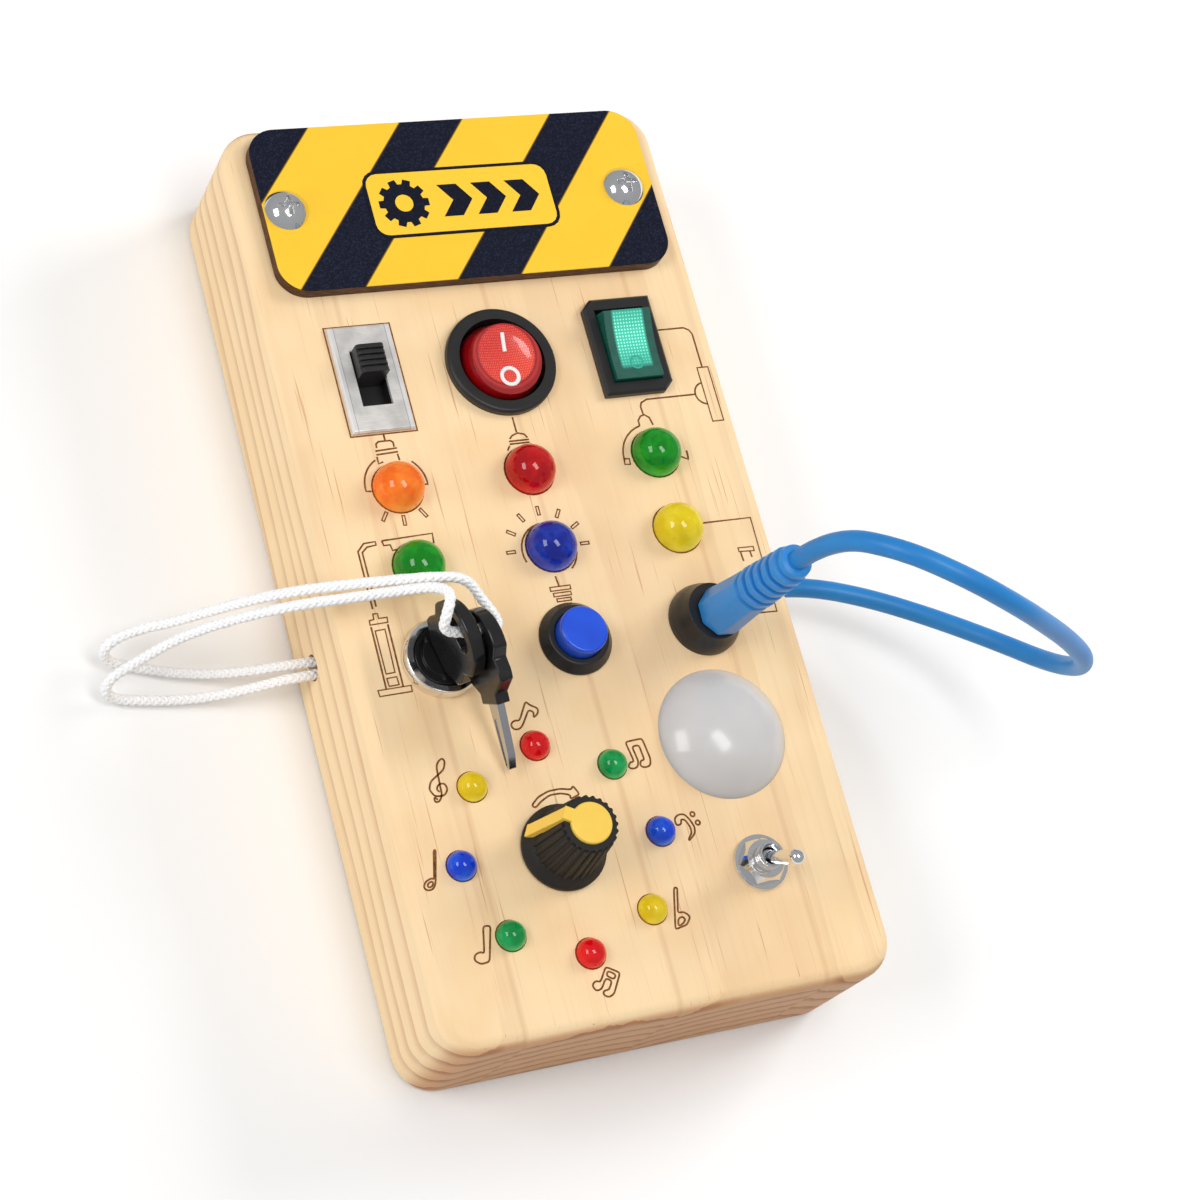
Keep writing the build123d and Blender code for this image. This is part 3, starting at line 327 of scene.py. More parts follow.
def close_tree(wiring, given, line, section, smooth):
    """The section runs along the lines and closes at their ends; then it is made real and finished."""
    sweep = {"Curve": line, "Profile Curve": section, "Fill Caps": True}
    piece = wiring.add("GeometryNodeCurveToMesh", (), sweep).outputs["Mesh"]
    if smooth:
        piece = wiring.add("GeometryNodeSetShadeSmooth", (), {"Geometry": piece}).outputs["Geometry"]
    piece = wiring.add("GeometryNodeRealizeInstances", (), {"Geometry": piece}).outputs["Geometry"]
    paint = wiring.add("GeometryNodeSetMaterial", (), {"Geometry": piece, "Material": given["Finish"]})
    wiring.add("NodeGroupOutput", (), {"Piece": paint.outputs["Geometry"]})
    return wiring.tree


def round_tree():
    """A round section along every line."""
    wiring, given = open_tree("round_section", {"Radius": "Float", "Sides": "Int"})
    sizes = {"Radius": given["Radius"], "Resolution": given["Sides"]}
    ring = wiring.add("GeometryNodeCurvePrimitiveCircle", (), sizes).outputs["Curve"]
    return close_tree(wiring, given, given["Line"], ring, smooth=True)


def swept(holder, name, tree, **values):
    """A curve's lines run through a tree, as a plain mesh."""
    modifier = holder.modifiers.new("section", "NODES")
    modifier.node_group = tree
    for socket in tree.interface.items_tree:
        if socket.name in values:
            modifier[socket.identifier] = values[socket.name]
    mesh = shown_mesh(holder)
    curve = holder.data
    bpy.data.objects.remove(holder)
    bpy.data.curves.remove(curve)
    mesh.name = name
    return placed(name, mesh)


def grained_paint(name, values, tones, grain, cloud, relief, rough):
    """Two tones in a slow cloud, and a fine grain in the relief and the gloss. Grain and cloud are
    noise scales, relief is a depth and a strength, rough is a level and what the grain adds to it."""
    paint = Paint(name, values)
    where = paint.place()
    fine = paint.noise(where, *grain)
    slow = paint.noise(where, *cloud) if cloud else fine
    paint.relief(fine, *relief)
    return paint.look(base=paint.mix(slow, *tones), rough=rough[0] + fine * rough[1])


round_section = round_tree()
cord_rubber = grained_paint(
    "cord_rubber", {"Specular IOR Level": 0.45, "Coat Roughness": 0.3, "Coat Weight": 0.12},
    tones=(colour(22, 117, 192), colour(38, 140, 211)), grain=(2.2, 3.0), cloud=(0.09,), relief=(0.03, 0.5),
    rough=(0.34, 0.16))
cord_line = routed("blue_cord_line", cord_route)
cord_points = line_points(cord_line)
blue_cord = swept(cord_line, "blue_cord_hose", round_section, Radius=cord_width / 2, Sides=cord_sides,
                  Finish=cord_rubber)
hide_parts("blue_cord")
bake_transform(blue_cord)

weld_gap = 2e-6
flat_angle = 0.6


def smoothed(form, angle):
    """Smooth faces, with the edges that turn by more than the angle left sharp."""
    for face in form.faces:
        face.smooth = True
        face.material_index = 0
    for line in form.edges:
        line.smooth = len(line.link_faces) == 2 and line.calc_face_angle(0.0) < radians(angle)


def made(form, name, finish):
    """A piece of its own in one finish."""
    mesh = bpy.data.meshes.new(name)
    form.to_mesh(mesh)
    form.free()
    mesh.materials.append(finish)
    return placed(name, mesh)


def finished(node, body, finish, slot, edge=0.0, smooth=30.0):
    """A solid's own shape with its curves smoothed and its sharp edges broken."""
    form = bmesh.new()
    form.from_mesh(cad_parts[node].data)
    bmesh.ops.remove_doubles(form, verts=form.verts, dist=weld_gap)
    if edge:
        bmesh.ops.dissolve_limit(form, angle_limit=radians(flat_angle), verts=form.verts, edges=form.edges)
    smoothed(form, smooth)
    piece = made(form, node + "_form", finish)
    if edge:
        break_edge = piece.modifiers.new("broken_edge", "BEVEL")
        break_edge.width = edge * mm
        break_edge.segments = 2
        break_edge.limit_method = "ANGLE"
        break_edge.angle_limit = radians(smooth)
        break_edge.use_clamp_overlap = True
    weigh = piece.modifiers.new("weighted", "WEIGHTED_NORMAL")
    weigh.mode = "FACE_AREA_WITH_ANGLE"
    weigh.keep_sharp = True
    weigh.weight = 60
    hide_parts(node)
    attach(piece, body)
    return piece


handle_length = 30.0
handle_sides = 64
half_flat = pi / 8
flat_limit = 0.985
handle_crease = 24.0
band_start, band_step = 13.6, 2.75
band_reach, band_taper, band_groove = 4.5, 0.13, 0.75


def bridged(form, lower, upper):
    """A wall between two loops of points."""
    for index in range(len(lower)):
        after = (index + 1) % len(lower)
        form.faces.new((lower[index], lower[after], upper[after], upper[index]))


def faceted_handle(finish):
    """The plug's handle: eight flats that round off towards the cord, with five grip bands. Each
    ring has its height, its radius and its share of roundness."""
    rings = [(0.0, 4.5, 0.0), (0.5, 5.12, 0.0), (1.6, 5.12, 0.0), (4.0, 4.95, 0.0), (9.0, 4.62, 0.1), (13.2, 4.42, 0.3)]
    for band in range(5):
        low = band_start + band_step * band
        wide = band_reach - band_taper * band
        rings += [(low, wide - band_groove, 0.6), (low + 0.95, wide - band_groove, 0.6),
                  (low + 1.1, wide, 0.55), (low + 2.5, wide - 0.04, 0.55)]
    rings += [(27.6, 3.1, 0.8), (28.4, 3.1, 0.9), (28.6, 3.5, 1.0), (29.6, 3.3, 1.0), (handle_length, 2.5, 1.0)]
    side = plug_way.orthogonal().normalized()
    up = plug_way.cross(side)
    foot = plug_tail - plug_way * handle_length
    form = bmesh.new()
    loops = []
    for height, radius, round_share in rings:
        loop = []
        for step in range(handle_sides):
            turn = 2 * pi * step / handle_sides
            flat = min(cos(half_flat) / cos((turn + half_flat) % (2 * half_flat) - half_flat), flat_limit)
            reach = radius * (flat + (flat_limit - flat) * round_share)
            away = side * cos(turn) + up * sin(turn)
            loop.append(form.verts.new((foot + plug_way * height + away * reach) * mm))
        loops.append(loop)
    for lower, upper in zip(loops, loops[1:]):
        bridged(form, lower, upper)
    form.faces.new(loops[0][::-1])
    form.faces.new(loops[-1])
    bmesh.ops.recalc_face_normals(form, faces=form.faces)
    smoothed(form, handle_crease)
    return made(form, "plug_handle", finish)


plug_body = faceted_handle(grained_paint(
    "plug_hard_rubber", {"Coat Weight": 0.15, "Coat Roughness": 0.25},
    tones=(colour(36, 128, 206), colour(50, 148, 220)), grain=(3.0,), cloud=None, relief=(0.02, 0.5),
    rough=(0.3, 0.16)))
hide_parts("plug_body")
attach(plug_body, "plug")


def plated_paint(name, tone, shine):
    """Plated metal with fine marks of use."""
    paint = Paint(name, {"Metallic": 1.0})
    marks = paint.noise(paint.place((1.0, 6.0, 1.0)), 1.4, 3.0)
    paint.relief(marks, 0.01, 0.25)
    return paint.look(base=paint.mix(marks, scaled(tone, 0.86), tone), rough=shine + marks * 0.1)


nickel = plated_paint("nickel_plate", colour(196, 198, 204), 0.16)
finished("plug_pin", "plug", nickel, "nickel", smooth=38)

# ---------------------------------------------------------------- key rope
# One length of braided white cotton rope, 2.2 mm thick. Both ends come out of a bore in the
# left-hand wall. It lies on the table in two bights and rises to the keys, through both grips.
rope_width = 2.2 * mm
rope_route = [
    (-39.45, -10.65, 10.7), (-50.4, -10.65, 10.7), (-60.6, -9.0, 5.2), (-69.6, -6.8, 1.9), (-77.5, -4.3, 1.5),
    (-85.0, -2.1, 2.4), (-85.6, -0.6, 8.2), (-79.4, 0.9, 9.6), (-73.4, 0.2, 13.2), (-67.4, -1.4, 21.6),
    (-60.6, -3.5, 31.2), (-53.0, -5.0, 36.6), (-42.0, -6.4, 39.8), (-32.4, -8.0, 43.2), (-25.6, -9.4, 44.6),
    (-22.6, -12.6, 41.6), (-20.6, -17.2, 41.8), (-21.8, -20.15, 44.3), (-27.0, -20.35, 44.75),
    (-33.4, -19.8, 45.3), (-33.2, -17.8, 49.6), (-31.2, -13.8, 49.6), (-32.4, -10.8, 45.6), (-38.6, -9.4, 41.6),
    (-46.6, -8.6, 38.9), (-54.2, -7.7, 36.4), (-61.0, -6.5, 31.4), (-67.4, -4.9, 23.8), (-73.8, -3.9, 15.2),
    (-80.0, -5.2, 9.4), (-86.8, -7.6, 7.0), (-85.6, -9.4, 1.5), (-77.4, -11.0, 1.5), (-68.8, -12.2, 2.4),
    (-60.0, -13.0, 6.0), (-50.6, -13.15, 10.7), (-39.45, -13.15, 10.7),
]
strand_count, strand_sides = 8, 5
strand_radius = 0.42 * mm
strand_inset = 0.06 * mm
weave_depth = 0.07 * mm
braid_pitch = 5.4 * mm
braid_step = 0.26 * mm


def even_points(points, step):
    """The same line with points at one even step, and its length."""
    runs = [0.0]
    for before, after in zip(points, points[1:]):
        runs.append(runs[-1] + (after - before).length)
    count = int(runs[-1] / step)
    spaced = []
    index = 0
    for number in range(count + 1):
        at = runs[-1] * number / count
        while index < len(runs) - 2 and runs[index + 1] < at:
            index += 1
        share = (at - runs[index]) / (runs[index + 1] - runs[index])
        spaced.append(points[index].lerp(points[index + 1], share))
    return spaced, runs[-1]


def braid_lines(points, length):
    """Eight strands round the rope's line, four each way, that pass over and under each other."""
    tangents = [(after - before).normalized() for before, after in zip(points, points[1:])]
    tangents.append(tangents[-1])
    side = tangents[0].orthogonal().normalized()
    lines = [[] for _ in range(strand_count)]
    pairs = strand_count // 2
    step = length / (len(points) - 1)
    for number, (point, tangent) in enumerate(zip(points, tangents)):
        side = (side - tangent * side.dot(tangent)).normalized()
        up = tangent.cross(side)
        turn = 2 * pi * number * step / braid_pitch
        for strand in range(strand_count):
            hand = 1 if strand % 2 else -1
            angle = 2 * pi * (strand // 2) / pairs + hand * turn
            weave = hand * cos(pairs * turn)
            reach = rope_width / 2 - strand_radius - strand_inset + weave_depth * weave
            lines[strand].append(point + side * reach * cos(angle) + up * reach * sin(angle))
    return lines


white_cotton = grained_paint(
    "white_cotton", {"Sheen Weight": 0.25, "Sheen Roughness": 0.5, "Specular IOR Level": 0.3},
    tones=(colour(255, 255, 255), colour(250, 250, 251)), grain=(5.0, 3.0), cloud=(0.12,), relief=(0.06, 0.6),
    rough=(0.75, 0.15))
rope_line = routed("key_rope_line", rope_route)
rope_points = line_points(rope_line)
bpy.data.objects.remove(rope_line)
strands = line_curve("strands", braid_lines(*even_points(rope_points, braid_step)), unit=1.0)
key_rope = swept(strands, "key_rope_braid", round_section, Radius=strand_radius, Sides=strand_sides,
                 Finish=white_cotton)
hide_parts("key_rope")
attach(key_rope, "board")
finished("rope_knot", "board", white_cotton, "white_rope", smooth=38)

# ---------------------------------------------------------------- pine case
# A hollow case milled from edge-glued pine staves, 94 by 190 by 31 mm, open at the back.
# Its face edge is rounded and sanded; growth layers show on its sides and ends.
stave_width, stave_shift = 31.4, 63.0
ring_spacing = 5.4
pith_depth = 64.0
pith_sway, pith_lift = 26.0, 14.0
grain_wander = 26.0


def pine_paint():
    paint = Paint("sanded_pine", {"Specular IOR Level": 0.35, "Coat Weight": 0.04, "Coat Roughness": 0.5})
    where = paint.place()
    x, y, z = paint.axes(where)
    across_staves = (x + stave_shift) / stave_width
    stave = across_staves.whole()

    def by_stave(seed):
        """A value of its own for each stave, from -1 to 1."""
        return (stave * seed).sine()

    wander = paint.long_noise(0.02, 0.006)
    ripple = paint.long_noise(0.3, 0.018, 3.0)
    beside = x + by_stave(2.399) * pith_sway + (wander - 0.5) * grain_wander + y * 0.02
    above = z + pith_depth + by_stave(5.13) * pith_lift
    layer = (beside.reach(above) / ring_spacing + (ripple - 0.5) * 0.45).part()
    late = layer.rise(0.35, 0.96) ** 2.0 * (1.0 - layer.rise(0.965, 1.0))
    fibre = paint.long_noise(2.6, 0.05)
    streak = paint.long_noise(0.5, 0.012, 3.0)
    mottle = paint.noise(where, 0.06)
    _, facing_end, facing_up = paint.axes(paint.add("ShaderNodeNewGeometry").outputs["Normal"])
    side = 1.0 - facing_up.rise(0.35, 0.9)
    end = abs(facing_end).rise(0.5, 0.9)
    dash = paint.long_noise(2.6, 0.045, 1.0).rise(0.69, 0.76)
    seam = abs(across_staves.part() - 0.5).rise(0.47, 0.4955)
    wood = paint.mix(mottle.rise(0.35, 0.7), colour(252, 222, 176), colour(248, 213, 164))
    wood = paint.tint(
        wood,
        (streak.rise(0.5, 0.75) * 0.25, colour(239, 198, 152)),
        (by_stave(3.7) * 0.1 + 0.1, colour(238, 200, 156)),
        (fibre.rise(0.55, 0.8) * 0.14, colour(214, 160, 110)),
        (dash * 0.5, colour(192, 120, 78)),
        # Painted light: the upright faces are lightened towards a pale tone, so they look as brightly lit as the face.
        (side * 0.55, colour(255, 226, 180)),
        (end * 0.62, colour(206, 134, 80)),
        (late * (0.10 + side * 0.24 + end * 0.4), colour(172, 102, 64)),
        (seam * 0.22, colour(196, 140, 96)))
    paint.relief(fibre * 0.5 + late * 0.6, 0.05, 0.35)
    return paint.look(base=wood, rough=0.5 + fibre * 0.14)


finished("wood_body", "board", pine_paint(), "pine", smooth=32)

# ---------------------------------------------------------------- burnt line drawings
# Fine lines burnt into the face by a laser, under half a millimetre wide: small lamps round
# the bulbs, signs of music round the ring, and a scorched rim round each bore.
face = 31.0
line_width, line_rise = 0.36, 0.035
rim_width, rim_rise, window_rim_width = 0.16, 0.03, 0.42
arc_step = 12
bulb_left, bulb_middle, bulb_right = -28.85, -0.95, 26.95
bulb_top, bulb_low, bulb_rise, bulb_rim = 15.7, -0.8, 0.575, 5.26
ring_x, ring_y = -15.1, -60.45
ring_reach, ring_rim, ring_count = 20.5, 3.02, 8
slide_x, slide_y = -28.7, 38.4
slide_rim_x, slide_rim_y = 6.9, 11.7


def circle_line(x, y, radius, start=0.0, end=360.0):
    count = max(8, int(abs(end - start) / arc_step))
    turns = [radians(start + (end - start) * step / count) for step in range(count + 1)]
    return [(x + radius * cos(t), y + radius * sin(t)) for t in turns]


def ray_box(x, y, reach_in, reach_out, turn, half=0.28):
    """A narrow box that points away from a bulb."""
    way = Vector((cos(radians(turn)), sin(radians(turn))))
    side = Vector((-way.y, way.x)) * half
    corners = [way * reach_in + side, way * reach_out + side, way * reach_out - side, way * reach_in - side]
    return [(x + c.x, y + c.y) for c in corners + corners[:1]]


def rounded(points, most=0.3):
    """The same line with every corner cut."""
    closed = points[0] == points[-1]
    cut = [] if closed else [points[0]]
    for before, after in zip(points, points[1:]):
        a, b = Vector(before), Vector(after)
        share = min(0.25, most / (b - a).length)
        cut += [tuple(a.lerp(b, share)), tuple(b.lerp(a, share))]
    return cut + [cut[0] if closed else points[-1]]


drawn = [
    # a hanging lamp round the orange bulb
    [(-28.9, 26.6), (-28.9, 25.3)],
    [(-31.0, 23.9), (-30.9, 24.8), (-30.3, 25.2), (-27.9, 25.2), (-27.4, 24.8), (-27.4, 23.8)],
    [(-31.4, 23.3), (-26.9, 23.5)], [(-31.4, 22.5), (-26.9, 22.7)], [(-31.4, 22.1), (-31.4, 20.6), (-30.4, 20.9)],
    [(-27.1, 22.3), (-27.0, 20.9)], circle_line(bulb_left, bulb_top, 6.5, 118, 184) + [(-34.3, 15.1)],
    circle_line(bulb_left, bulb_top, 6.3, 48, -4) + [(-23.5, 15.4)],
    # a hanging lamp over the red bulb
    [(-1.4, 27.4), (-1.4, 24.1)], [(-3.2, 22.8), (-2.5, 23.5), (-1.2, 23.9), (0.1, 23.5), (0.6, 22.7)],
    [(-3.5, 22.3), (0.8, 22.3)], [(-3.5, 21.7), (0.8, 21.7)], [(-3.6, 21.4), (-4.3, 20.4)],
    [(0.9, 21.4), (1.5, 20.6)],
    # a wall lamp on its cable round the right-hand green bulb
    [(35.3, 43.2), (41.3, 43.2), (42.4, 42.6), (42.9, 41.6), (42.9, 34.1)],
    [(41.7, 34.0), (44.2, 34.0), (44.2, 21.9), (41.7, 21.9), (41.7, 34.0)], circle_line(42.0, 28.2, 2.4, 100, 260),
    [(39.6, 28.2), (28.5, 28.2), (27.1, 27.6), (26.7, 26.7), (26.8, 24.9)],
    [(25.3, 22.6), (25.3, 23.8), (26.1, 24.7), (27.0, 24.9), (27.9, 24.2), (28.3, 22.5)],
    circle_line(bulb_right, bulb_top, 7.1, 104, 180) + [(19.7, 14.7), (20.9, 14.6), (21.0, 15.8), (20.0, 15.9)],
    circle_line(bulb_right, bulb_top, 7.0, 4, -12) + [(32.4, 15.0)],
    # a glass and its screw base round the blue bulb
    circle_line(bulb_middle - 0.4, bulb_low - 0.5, 5.7, -50, 200), [(-1.6, -6.8), (-1.4, -8.9)],
    [(-3.4, -9.0), (0.9, -9.0), (0.9, -9.8), (-3.4, -9.8), (-3.4, -9.0)],
    [(-3.0, -10.3), (0.7, -10.3), (0.7, -11.0), (-3.0, -11.0), (-3.0, -10.3)],
    [(-2.6, -11.5), (0.4, -11.5), (0.4, -12.1), (-2.6, -12.1), (-2.6, -11.5)],
    # a standing lamp beside the left-hand green bulb
    [(-41.3, -11.7), (-37.7, -11.6), (-37.6, -10.6), (-39.3, -10.6), (-39.3, -9.6), (-40.2, -9.6), (-40.3, -10.7),
     (-41.2, -10.8), (-41.3, -11.7)], [(-41.2, -12.1), (-41.3, -24.6)], [(-37.8, -12.0), (-37.9, -24.6)],
    [(-40.6, -13.0), (-38.6, -12.9), (-38.8, -21.6), (-40.6, -21.7), (-40.6, -13.0)],
    [(-40.7, -22.6), (-38.7, -22.5), (-38.6, -24.1), (-40.6, -24.2), (-40.7, -22.6)],
    [(-43.0, -24.7), (-36.3, -24.6), (-36.4, -25.8), (-42.9, -25.9), (-43.0, -24.7)],
    [(-34.8, 4.8), (-24.3, 5.1), (-24.5, 3.0)],
    [(-34.8, 4.8), (-34.6, 3.8), (-33.3, 3.8), (-33.1, 2.6), (-32.0, 2.7)],
    [(-40.0, -8.6), (-40.0, 3.2), (-38.5, 4.7), (-36.1, 4.8), (-36.1, 4.1), (-38.0, 3.9), (-39.2, 2.9),
     (-39.2, -8.2)],
    # a lamp beside the yellow bulb
    [(38.9, -5.9), (42.3, -6.0), (42.3, -6.9), (38.9, -6.7), (38.9, -5.9)], [(39.2, -6.8), (39.3, -8.8)],
    [(41.3, -6.9), (41.4, -8.2)], [(32.8, 0.3), (43.6, 0.2), (43.3, -20.2), (38.6, -20.0)],
]
signs = [
    # a quaver
    [(-18.8, -35.1), (-17.9, -34.4), (-16.8, -34.6), (-14.6, -31.0), (-13.9, -31.9), (-12.5, -32.7),
     (-12.7, -33.7), (-13.9, -34.5), (-13.5, -33.3), (-14.5, -32.8), (-16.5, -35.7), (-17.4, -36.3),
     (-18.5, -36.1), (-18.8, -35.1)],
    # two quavers on a beam
    [(2.5, -47.0), (3.1, -46.1), (4.0, -46.1), (3.3, -42.0), (6.9, -41.8), (7.5, -46.0), (7.1, -47.4),
     (5.8, -47.6), (5.0, -47.1), (5.4, -46.1), (6.2, -46.1), (5.9, -43.0), (4.4, -43.1), (4.9, -46.2),
     (4.4, -47.3), (3.3, -47.5), (2.5, -47.0)],
    # a bass clef
    [(8.9, -59.4), (9.0, -58.4), (9.9, -57.8), (11.2, -57.9), (12.0, -59.1), (12.6, -60.7), (12.3, -62.0),
     (10.7, -63.2), (10.7, -62.8), (11.7, -61.8), (11.7, -60.5), (11.0, -59.0), (10.2, -58.8), (10.1, -59.7),
     (9.2, -59.9), (8.9, -59.4)], circle_line(12.9, -58.2, 0.45), circle_line(13.5, -60.0, 0.45),
    # a treble clef
    [(-36.8, -47.3), (-37.4, -46.6), (-37.5, -47.7), (-36.6, -47.7), (-35.8, -46.6), (-35.5, -41.0),
     (-34.9, -40.0), (-33.9, -39.5), (-33.6, -40.3), (-34.2, -41.7), (-35.6, -42.6), (-37.3, -43.6),
     (-38.0, -45.1), (-37.2, -46.6), (-35.3, -46.7), (-34.4, -45.6), (-34.7, -44.4), (-35.8, -44.3),
     (-36.6, -45.2), (-36.1, -45.9)],
    # a minim
    [(-40.1, -56.6), (-39.7, -56.6), (-41.3, -62.7), (-42.0, -63.8), (-43.2, -63.9), (-43.8, -63.2),
     (-43.2, -62.2), (-41.9, -61.7), (-41.4, -62.0), (-40.1, -56.6)],
    [(-43.0, -62.8), (-42.2, -62.3), (-41.7, -62.5), (-42.0, -63.2), (-42.8, -63.4), (-43.0, -62.8)],
    # the arrow over the knob
    [(-18.9, -51.3), (-17.2, -49.9), (-14.9, -49.1), (-12.5, -49.0), (-10.2, -49.5), (-9.7, -48.8), (-8.8, -50.7),
     (-10.9, -51.3), (-10.7, -50.5), (-12.5, -49.9), (-14.8, -49.9), (-16.8, -50.8), (-18.3, -51.9), (-18.9, -51.3)],
    # a crotchet
    [(-34.4, -72.2), (-33.0, -72.4), (-34.9, -78.9), (-36.6, -79.1), (-37.7, -78.2), (-37.4, -77.2),
     (-36.3, -76.8), (-35.5, -77.2), (-34.4, -72.2)],
    # two quavers on a beam
    [(-16.5, -86.8), (-15.6, -86.1), (-14.7, -86.5), (-12.9, -83.9), (-10.4, -85.5), (-12.7, -89.2),
     (-13.9, -89.6), (-14.8, -88.9), (-14.5, -88.2), (-13.4, -88.2), (-12.4, -86.7), (-13.5, -86.0),
     (-14.8, -87.8), (-16.0, -88.0), (-16.5, -86.8)],
    [(-12.7, -84.7), (-11.3, -85.7), (-11.9, -86.5), (-13.2, -85.6), (-12.7, -84.7)],
    # a flat
    [(4.9, -71.6), (5.6, -71.7), (4.3, -76.5), (5.6, -76.5), (6.6, -77.6), (5.5, -79.0), (2.9, -79.5), (4.9, -71.6)],
    [(4.0, -77.6), (5.0, -77.3), (5.5, -78.0), (4.7, -78.7), (3.7, -79.0), (4.0, -77.6)],
]
drawn += [rounded(rounded(sign)) for sign in signs]
drawn += [ray_box(bulb_left, bulb_top, 6.3, 8.3, turn) for turn in (-124, -93, -58)]
drawn += [ray_box(bulb_middle - 0.5, bulb_low, 7.0, 8.8, turn) for turn in range(0, 181, 30)]
rims = []
for column, x in enumerate((bulb_left, bulb_middle, bulb_right)):
    rims += [circle_line(x, y + (column - 1) * bulb_rise, bulb_rim) for y in (bulb_top, bulb_low)]
for index in range(ring_count):
    turn = radians(90 - index * 360 / ring_count)
    rims.append(circle_line(ring_x + ring_reach * cos(turn), ring_y + ring_reach * sin(turn), ring_rim))
slide_rim = [(slide_x + x * slide_rim_x, slide_y + y * slide_rim_y)
             for x, y in ((-1, -1), (1, -1), (1, 1), (-1, 1), (-1, -1))]


def band_tree():
    """A flat band along every line."""
    wiring, given = open_tree("burnt_band", {"Width": "Float", "Rise": "Float"})
    upright = wiring.add("GeometryNodeSetCurveNormal", {"mode": "Z_UP"}, {"Curve": given["Line"]}).outputs["Curve"]
    sizes = {"Width": given["Width"], "Height": given["Rise"]}
    band = wiring.add("GeometryNodeCurvePrimitiveQuadrilateral", (), sizes).outputs["Curve"]
    return close_tree(wiring, given, upright, band, smooth=False)


burnt_band = band_tree()


def flat_lines(name, lines, height, width, rise, finish):
    """Flat closed bands along lines drawn at one height. A line that ends where it starts is a loop."""
    loops = [len(line) > 2 and dist(line[0], line[-1]) < 0.01 for line in lines]
    rows = [[(x, y, height) for x, y in (line[:-1] if loop else line)] for line, loop in zip(lines, loops)]
    holder = line_curve(name, rows)
    for spline, loop in zip(holder.data.splines, loops):
        spline.use_cyclic_u = loop
    return swept(holder, name, burnt_band, Width=width * mm, Rise=2 * rise * mm, Finish=finish)


def burnt_paint():
    paint = Paint("scorched_pine", {"Specular IOR Level": 0.2})
    char = paint.noise(paint.place(), 1.3, 3.0)
    fibre = paint.long_noise(3.0, 0.2)
    paint.relief(char, 0.04, 0.6)
    tone = paint.mix(char.rise(0.3, 0.7), colour(104, 60, 30), colour(148, 96, 54))
    tone = paint.mix(fibre.rise(0.5, 0.8) * 0.35, tone, colour(178, 128, 84))
    return paint.look(base=tone, rough=0.8 + char * 0.1)


scorched_pine = burnt_paint()
for name, lines, width, rise in (
        ("burnt_lines", drawn, line_width, line_rise), ("scorched_rims", rims, rim_width, rim_rise),
        ("window_rim", [slide_rim], window_rim_width, line_rise)):
    burnt = flat_lines(name, lines, face, width, rise, scorched_pine)
    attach(burnt, "board")

# ---------------------------------------------------------------- striped sign
# A 3 mm laser-cut board, printed yellow with slanting dark bars, with a scorched edge and a plain
# badge of a toothed wheel and three arrow bars. Two domed wood screws hold it.
sign_face = 34.0
sign_top = 93.0
print_depth = 0.12
bar_pitch, bar_share = 33.4, 0.407
bar_slant, bar_start = 1.2, 9.4
sign_yellow, sign_navy = colour(254, 206, 60), colour(9, 13, 31)
badge_x, badge_y = -0.6, 74.6
wheel_x = badge_x - 12.6
tooth_count = 10


def sign_paint():
    paint = Paint("printed_sign", {"Specular IOR Level": 0.22})
    where = paint.place()
    x, y, z = paint.axes(where)
    bar = ((x - (y - sign_top) / bar_slant + bar_start) / bar_pitch).part()
    speck = paint.noise(where, 2.6, 3.0, 0.7)
    yellow = paint.mix(paint.noise(where, 0.12), sign_yellow, colour(251, 198, 52))
    navy = paint.mix(speck.rise(0.45, 0.78), sign_navy, colour(44, 50, 76))
    bar_edge = 1.0 - abs(bar - bar_share).least(bar).least(1.0 - bar).rise(0.004, 0.010)
    printed = paint.tint(yellow, (bar.under(bar_share), navy), (bar_edge * 0.75, colour(60, 40, 14)))
    layer = paint.noise(paint.place((0.4, 0.4, 4.0)), 1.0, 3.0)
    burnt = paint.mix(layer.rise(0.35, 0.7), colour(44, 26, 18), colour(112, 70, 44))
    paint.relief(paint.noise(where, 5.0), 0.02, 0.5)
    return paint.look(base=paint.mix(z.over(sign_face - print_depth), burnt, printed), rough=0.36 + speck * 0.2)


finished("sign_plate", "board", sign_paint(), "sign_paint", edge=0.16, smooth=50)


def ink_paint(name, tone, lighter):
    paint = Paint(name, {"Specular IOR Level": 0.22})
    speck = paint.noise(paint.place(), 2.6, 3.0, 0.7)
    paint.relief(speck, 0.02, 0.4)
    return paint.look(base=paint.mix(speck.rise(0.5, 0.8), tone, lighter), rough=0.38 + speck * 0.2)


def flat_plate(name, outlines, low, high, finish):
    """Thin plates cut to closed outlines, one object."""
    form = bmesh.new()
    for outline in outlines:
        lower = [form.verts.new((x * mm, y * mm, low * mm)) for x, y in outline]
        upper = [form.verts.new((x * mm, y * mm, high * mm)) for x, y in outline]
        form.faces.new(upper)
        form.faces.new(lower[::-1])
        bridged(form, lower, upper)
    bmesh.ops.triangulate(form, faces=[f for f in form.faces if len(f.verts) > 4])
    bmesh.ops.recalc_face_normals(form, faces=form.faces)
    return made(form, name, finish)


def round_plate(x, y, half_w, half_h, corner):
    """An oblong with round corners."""
    outline = []
    for start, to_x, to_y in ((0, 1, 1), (90, -1, 1), (180, -1, -1), (270, 1, -1)):
        for step in range(5):
            turn = radians(start + step * 22.5)
            outline.append((x + to_x * (half_w - corner) + corner * cos(turn),
                            y + to_y * (half_h - corner) + corner * sin(turn)))
    return outline


def wheel_tooth(x, y, inner, outer, turn):
    """One tooth block that stands out from a wheel's rim."""
    corners = ((inner, 0.24), (outer, 0.15), (outer, -0.15), (inner, -0.24))
    return [(x + r * cos(turn - lean), y + r * sin(turn - lean)) for r, lean in corners]


